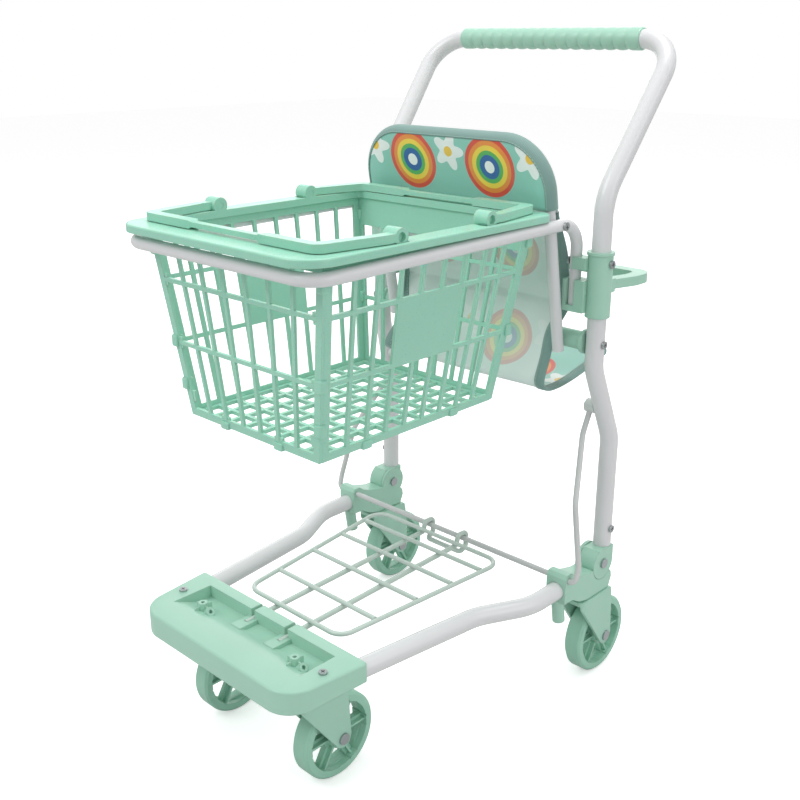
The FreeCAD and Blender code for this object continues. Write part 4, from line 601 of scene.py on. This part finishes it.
# the main sheet's route (y, z, half-width): from below the sleeve, behind the legs, in front of
# the seat bar, round the fold and into the pan
LOW_T, LOW_OFF, LOW_RUN, HIGH_OFF = 26.0, 19.0, 50.0, 9.0
HEM_BLEND, UPPER_BELLY, BELLY_RUN, ROW_POWER = 8.0, 2.5, 30.0, 1.25
low_y, low_z = leaning(0.0, LOW_T, -LOW_OFF)[1:]
ROUTE = ((low_y, low_z, LOWER_HALF), (110.0, 340.0, 96.0), (103.8, 331.0, BETWEEN_LEGS),
         (103.6, 318.0, BETWEEN_LEGS), (97.0, 303.0, 91.0), (84.5, 290.0, 94.0),
         (80.0, 283.6, 95.0), (84.0, 279.4, 95.0), (94.0, 277.6, 95.0), (110.0, 277.8, 95.0),
         (134.0, 281.0, 95.0), (162.0, 287.6, 95.0), (193.0, 297.0, 95.0))
PAN_START, PAN_RUN, PAN_SAG = 0.42, 0.2, 3.5
DIP_START, PAN_DIP, PAN_CORNER, CORNER_START = 0.8, 2.5, 20.0, 0.91


def rounded_line(points, count):
    """A line through points, sampled evenly by the length of its first two columns and then
    averaged three times over nine samples, ends kept."""
    gaps = np.concatenate([[0], np.cumsum(np.hypot(*np.diff(points[:, :2], axis=0).T))])
    spots = np.linspace(0, gaps[-1], count)
    line = np.stack([np.interp(spots, gaps, column) for column in points.T], axis=-1)
    for _ in range(3):
        padded = np.concatenate([[line[0]] * 4, line, [line[-1]] * 4])
        mean = sum(padded[i:i + len(line)] for i in range(9)) / 9
        mean[0], mean[-1] = line[0], line[-1]
        line = mean
    return line


# its upper part: the sleeve's back, then a slope drawn back from the plane to the first point
t_up = SLEEVE_TOP - (SLEEVE_TOP - LOW_T) * np.linspace(0, 1, UPPER_STEPS) ** ROW_POWER
upper_t = t_up[:, None] + 0 * across
in_sleeve = smooth_step((upper_t - (SLEEVE_HEM - HEM_BLEND)) / HEM_BLEND)
upper_x = (arch_half(upper_t) * in_sleeve + LOWER_HALF * (1 - in_sleeve)) * across
drawn_back = HIGH_OFF + (LOW_OFF - HIGH_OFF) * smooth_step((SLEEVE_HEM - upper_t) / LOW_RUN)
middle_share = smooth_step(1 - np.abs(across))
belly = UPPER_BELLY * middle_share * smooth_step((SLEEVE_HEM - upper_t) / BELLY_RUN)
upper_off = -(puff(upper_x, upper_t) * in_sleeve + (drawn_back + belly) * (1 - in_sleeve))
upper_points = leaning(upper_x, upper_t, upper_off)

# its lower part: the route from edge to edge, with the pan's sag and its rounded rear corners
lower = rounded_line(np.array(ROUTE), LOWER_STEPS)[1:]
way = np.linspace(0, 1, len(lower))[:, None]
corner_way = np.clip((way - CORNER_START) / (1 - CORNER_START), 0, 1)
corner_cut = PAN_CORNER * (1 - np.sqrt(1 - corner_way ** 2))
lower_x = (lower[:, 2:3] - corner_cut) * across
in_pan = smooth_step((way - PAN_START) / PAN_RUN)
lower_y = lower[:, 0:1] - UPPER_BELLY * (1 - in_pan) * middle_share
dip = PAN_DIP * smooth_step((way - DIP_START) / (1 - DIP_START))
lower_z = lower[:, 1:2] - (PAN_SAG * in_pan + dip) * (1 - across ** 2)
lower_points = np.stack([lower_x, lower_y, lower_z], axis=-1)
sling_points = np.concatenate([upper_points, lower_points])
centre_line = sling_points[:, len(across) // 2]
run = np.concatenate([[0], np.cumsum(np.linalg.norm(np.diff(centre_line, axis=0), axis=1))])
sling_uv = np.stack([sling_points[..., 0], run[:, None] + 0 * across - SLEEVE_TOP], axis=-1)
sling = cloth_mesh("seat_sling_cloth", sling_points, sling_uv, (printed_face, cloth_back),
                   CLOTH)
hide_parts("seat_pan")

# ---------------------------------------------------------------- seat binding
# A woven grey-green tape is folded over the raw edge and reaches 4.2 mm in from the sleeve's
# seam and 8.5 mm in from the sheet's edge. One length goes round the seam, the other round the
# sheet and its pan, and both are lockstitched. A zinc-plated rivet sits in each rear corner.
TAPE_WIDE, SEAM_TAPE, TAPE_THICK, TAPE_INSIDE = 8.5, 4.2, 0.8, 0.2
TAPE_CROWN, TAPE_SHOULDER, TAPE_FOLD = 0.1, 0.9, 1.1
HEM_OVERLAP, BORDER_DEPTH = 5.0, 4
SIDE_POINTS, TURN_POINTS, TOP_POINTS, CLIMB_POINTS = 14, 16, 15, 9
TAPE_RIBS, TAPE_RELIEF = 260.0, 0.1 * MM
tape_cloth, tree, skin = finish_of("grey_green_woven_tape", "#7b9c95", 0.75, Sheen_Weight=0.3)
spot = add(tree, "ShaderNodeTexCoord").outputs["Object"]
# slanting ribs 1.4 mm apart, coarser than the real 0.5 mm so that they show
rib = add(tree, "ShaderNodeTexWave", [("Vector", spot)], bands_direction="DIAGONAL",
          in_1=TAPE_RIBS, in_2=2.0)
tint = add(tree, "ShaderNodeMix", [(0, rib.outputs[1])], data_type="RGBA",
           in_6=linear("#71918a"), in_7=linear("#85a69f"))
tree.links.new(tint.outputs[2], skin.inputs["Base Color"])
height = add(tree, "ShaderNodeBump", [("Height", rib.outputs[1])], in_0=0.5,
             in_1=TAPE_RELIEF)
tree.links.new(height.outputs[0], skin.inputs["Normal"])


def unit(vectors):
    """The same directions, each one long."""
    return vectors / np.linalg.norm(vectors, axis=-1, keepdims=True)


def closed_strip(name, rings, made):
    """A solid from rings of points (stations, around, 3) in millimetres, joined to each other
    and capped."""
    count, around = rings.shape[:2]
    first = np.arange(around)
    faces = ring_faces(count, around).tolist()
    faces += [first[::-1].tolist(), (first + (count - 1) * around).tolist()]
    return shaped(name, rings, faces, made, "frame")


# the seam's path (x, t) and its way inwards: up the side, round the corner, along the top
corner = np.linspace(0, math.pi / 2, TURN_POINTS + 1)[1:]
up_side = np.linspace(SLEEVE_HEM, SLEEVE_TOP - SLEEVE_CORNER, SIDE_POINTS)
over_top = np.linspace(SLEEVE_HALF - SLEEVE_CORNER, 0, TOP_POINTS + 1)[1:]
half_seam = np.concatenate([
    np.stack([0 * up_side + SLEEVE_HALF, up_side, 0 * up_side - 1, 0 * up_side], axis=-1),
    np.stack([SLEEVE_HALF - SLEEVE_CORNER * (1 - np.cos(corner)),
              SLEEVE_TOP - SLEEVE_CORNER * (1 - np.sin(corner)),
              -np.cos(corner), -np.sin(corner)], axis=-1),
    np.stack([over_top, 0 * over_top + SLEEVE_TOP, 0 * over_top, 0 * over_top - 1], axis=-1)])
other_half = half_seam[-2::-1] * (-1, 1, -1, 1)
seam_x, seam_t, in_x, in_t = np.concatenate([half_seam, other_half]).T


def over_seam(d, off):
    """Points at a distance d inwards from each point of the seam and off towards the front."""
    return leaning(seam_x[:, None] + in_x[:, None] * d, seam_t[:, None] + in_t[:, None] * d,
                   off + 0 * seam_x[:, None])


def tape_ring(lift):
    """The tape's line across the seam: on each side it climbs an ellipse wider than the
    cloth's by the lift."""
    climb = np.linspace(0, math.acos((PUFF_RUN - SEAM_TAPE) / (PUFF_RUN + lift)),
                        CLIMB_POINTS)
    d = PUFF_RUN - (PUFF_RUN + lift) * np.cos(climb)
    off = (PUFF + lift) * np.sin(climb)
    return over_seam(np.concatenate([d[::-1], d[1:]]), np.concatenate([off[::-1], -off[1:]]))


half_thick = CLOTH / 2 + TAPE_THICK
seam_rings = np.concatenate([tape_ring(half_thick), tape_ring(TAPE_INSIDE)[:, ::-1]],
                            axis=1)
seam_tape = closed_strip("sleeve_binding", seam_rings, tape_cloth)

# down the sheet's edge and round the pan: a flat folded section carried along the grid's border
below_hem = sling_points[int(np.argmax(t_up < SLEEVE_HEM - HEM_OVERLAP)):]
left, left_in = below_hem[:, 0], below_hem[:, BORDER_DEPTH]
rear, rear_in = below_hem[-1, 1:-1], below_hem[-1 - BORDER_DEPTH, 1:-1]
right, right_in = below_hem[::-1, -1], below_hem[::-1, -1 - BORDER_DEPTH]
border = np.concatenate([left, rear, right])
border_in = unit(np.concatenate([left_in, rear_in, right_in]) - border)
forward = unit(np.gradient(border, axis=0))
for _ in range(4):
    border_in[1:-1] = (border_in[:-2] + border_in[1:-1] + border_in[2:]) / 3
normal = unit(np.cross(forward, border_in))
for _ in range(6):
    normal[1:-1] = (normal[:-2] + normal[1:-1] + normal[2:]) / 3
normal = unit(normal)
profile = np.array([(TAPE_WIDE, half_thick), (TAPE_WIDE / 2, half_thick + TAPE_CROWN),
                    (0.0, half_thick), (-TAPE_SHOULDER, half_thick / 2),
                    (-TAPE_FOLD, 0.0), (-TAPE_SHOULDER, -half_thick / 2), (0.0, -half_thick),
                    (TAPE_WIDE / 2, -half_thick - TAPE_CROWN), (TAPE_WIDE, -half_thick)])
sheet_rings = (border[:, None] + border_in[:, None] * profile[:, :1]
               + normal[:, None] * profile[:, 1:])
edge_tape = closed_strip("sheet_binding", sheet_rings, tape_cloth)

# rows of lockstitches 3.2 mm apart, in pale twisted thread, close to the tape's inner edge
STITCH_HALF, STITCH_WIDE, STITCH_HIGH, STITCH_PITCH = 1.15, 0.34, 0.26, 3.2
STITCH_IN, SEAM_STITCH_IN, STITCH_START = 1.2, 0.9, 2.0
STITCH_AROUND, THREAD_GRAIN = 8, 0.5 * MM
thread = mottled("pale_polyester_thread", "#a3c2b9", 0.6, ("#abc9c0", "#98b9b0"),
                 THREAD_GRAIN, (0.5, 0.65), 0.2, Sheen_Weight=0.2)


def stitched(name, line, lift):
    """Slim beads along a line of points, each turned along it: four elliptical rings with the
    thread's width and height, a quarter as large at the bead's two ends."""
    lengths = np.concatenate([[0], np.cumsum(np.linalg.norm(np.diff(line, axis=0), axis=1))])
    spots = np.arange(STITCH_START, lengths[-1] - STITCH_START, STITCH_PITCH)

    def sampled(columns, places):
        """A row of vectors read off at places along the line."""
        return np.stack([np.interp(places, lengths, column) for column in columns.T], axis=-1)

    centre = sampled(line, spots)
    ahead = unit(sampled(line, spots + 0.5) - centre)
    high = unit(sampled(lift, spots))
    wide = np.cross(ahead, high)
    share = np.array([-1.0, -0.6, 0.6, 1.0])[:, None, None]
    girth = np.array([0.25, 1.0, 1.0, 0.25])[:, None, None]
    belly = np.linspace(0, 2 * math.pi, STITCH_AROUND, endpoint=False)[:, None]
    centre, ahead, high, wide = (v[:, None, None] for v in (centre, ahead, high, wide))
    points = (centre + ahead * STITCH_HALF * share
              + girth * (wide * STITCH_WIDE * np.cos(belly) + high * STITCH_HIGH * np.sin(belly)))
    starts = len(share) * STITCH_AROUND * np.arange(len(spots))
    sides = ring_faces(len(share), STITCH_AROUND) + starts[:, None, None]
    cap = np.arange(STITCH_AROUND)
    last = (len(share) - 1) * STITCH_AROUND
    caps = [cap[::-1] + starts[:, None], cap + last + starts[:, None]]
    faces = sides.reshape(-1, 4).tolist() + np.concatenate(caps).tolist()
    shaped(name, points, faces, thread, "frame", curved=False)


climb = math.acos((PUFF_RUN - SEAM_TAPE + SEAM_STITCH_IN) / (PUFF_RUN + half_thick))
seam_d = PUFF_RUN - (PUFF_RUN + half_thick) * math.cos(climb)
seam_off = (PUFF + half_thick) * math.sin(climb)
up_slope = np.array([0.0, -math.sin(LEAN), math.cos(LEAN)])
towards_front = np.array([0.0, -math.cos(LEAN), -math.sin(LEAN)])
outward = -(in_x[:, None] * np.array([1.0, 0.0, 0.0]) + in_t[:, None] * up_slope)
for name, facing in (("sleeve_stitches_front", 1), ("sleeve_stitches_back", -1)):
    stitched(name, over_seam(seam_d, facing * seam_off)[:, 0],
             outward * math.cos(climb) + facing * math.sin(climb) * towards_front)
for name, facing in (("sheet_stitches_under", 1), ("sheet_stitches_upper", -1)):
    stitched(name, border + border_in * (TAPE_WIDE - STITCH_IN) + normal * facing * half_thick,
             normal * facing)

# a hollow rivet: two shallow domes 6 mm across round a narrow bore, squeezed through the cloth
RIVET_RADIUS, RIVET_EDGE, RIVET_RISE, RIVET_AROUND = 3.0, 1.9, 1.1, 24
RIVET_ROW = -9
arc = np.linspace(0, math.pi / 2, 6)[1:]
dome_radius = RIVET_RADIUS * np.sin(np.concatenate([arc, arc[::-1]]))
dome_level = RIVET_EDGE + RIVET_RISE * np.cos(arc)
dome_level = np.concatenate([dome_level, -dome_level[::-1]])
around = np.linspace(0, 2 * math.pi, RIVET_AROUND, endpoint=False)[:, None]
for name, column in (("seat_rivet_left", 7), ("seat_rivet_right", -8)):
    centre = sling_points[RIVET_ROW, column]
    level = unit(np.cross(sling_points[RIVET_ROW, column + 1] - centre,
                          sling_points[RIVET_ROW - 1, column] - centre))
    crosswise = unit(np.cross(level, [1.0, 0.0, 0.0]))
    beside = np.cross(crosswise, level)
    rim = np.cos(around) * crosswise + np.sin(around) * beside
    rivet_points = (centre + dome_radius[:, None, None] * rim
                    + dome_level[:, None, None] * level)
    surface(name, rivet_points, zinc, "frame")


# ---------------------------------------------------------------- stage
# A pale paper floor in an even pale surround, and four square soft lights: a key in front and
# above, one overhead, a weak fill on the right and a wide one behind, as in a product studio.
FLOOR_SIZE, SURROUND_LIGHT, SURROUND_SEEN = 14.0, 0.6, 1.0
SOFT_LIGHTS = (("key", (-0.5, -1.3, 1.7), (0, 0, 0.25), 1.0, 13.0),
               ("top", (0.1, 0.3, 2.1), (0, 0, 0.3), 1.2, 18.0),
               ("fill", (1.7, 0.2, 0.9), (0, 0, 0.3), 1.0, 5.0),
               ("back", (-1.7, 1.9, 0.9), (0, 0, 0.3), 2.2, 16.0))
LENS, SENSOR = 46.544, 36.0
CAMERA_AT, CAMERA_TURN = (0.5867, -0.6094, 0.5676), (70.62, 0.0, 43.63)

# paper and surround look white, but light the trolley as pale grey ones do
paper, tree, skin = finish_of("pale_paper", "#f7f7f7", 0.9, Emission_Strength=0.42)
skin.inputs["Emission Color"].default_value = linear("#ffffff")
darker = add(tree, "ShaderNodeBsdfDiffuse", in_0=linear("#d2d2d2"))
seen = add(tree, "ShaderNodeLightPath").outputs["Is Camera Ray"]
either = add(tree, "ShaderNodeMixShader",
             [(0, seen), (1, darker.outputs[0]), (2, skin.outputs[0])])
tree.links.new(either.outputs[0], tree.nodes["Material Output"].inputs[0])
bpy.ops.mesh.primitive_plane_add(size=FLOOR_SIZE, location=(0, 0, 0))
floor = bpy.context.object
floor.name = "paper_floor"
floor.data.materials.append(paper)
world = bpy.data.worlds.new("surround")
world.use_nodes = True
tree = world.node_tree
seen = add(tree, "ShaderNodeLightPath").outputs["Is Camera Ray"]
level = add(tree, "ShaderNodeMapRange", [(0, seen)], in_3=SURROUND_LIGHT, in_4=SURROUND_SEEN)
tree.links.new(level.outputs[0], tree.nodes["Background"].inputs["Strength"])
tree.nodes["Background"].inputs["Color"].default_value = linear("#ffffff")
bpy.context.scene.world = world
bpy.context.scene.view_settings.view_transform = "Standard"

for name, spot, target, size, power in SOFT_LIGHTS:
    lamp = bpy.data.lights.new(name, "AREA")
    lamp.shape = "SQUARE"
    lamp.size = size
    lamp.energy = power
    light = bpy.data.objects.new(name, lamp)
    bpy.context.scene.collection.objects.link(light)
    light.location = spot
    light.rotation_euler = (Vector(target) - Vector(spot)).to_track_quat("-Z", "Y").to_euler()
    light.visible_camera = False

lens = bpy.data.cameras.new("camera")
lens.lens = LENS
lens.sensor_width = SENSOR
camera = bpy.data.objects.new("camera", lens)
bpy.context.scene.collection.objects.link(camera)
camera.location = CAMERA_AT
camera.rotation_euler = [math.radians(turn) for turn in CAMERA_TURN]
bpy.context.scene.camera = camera
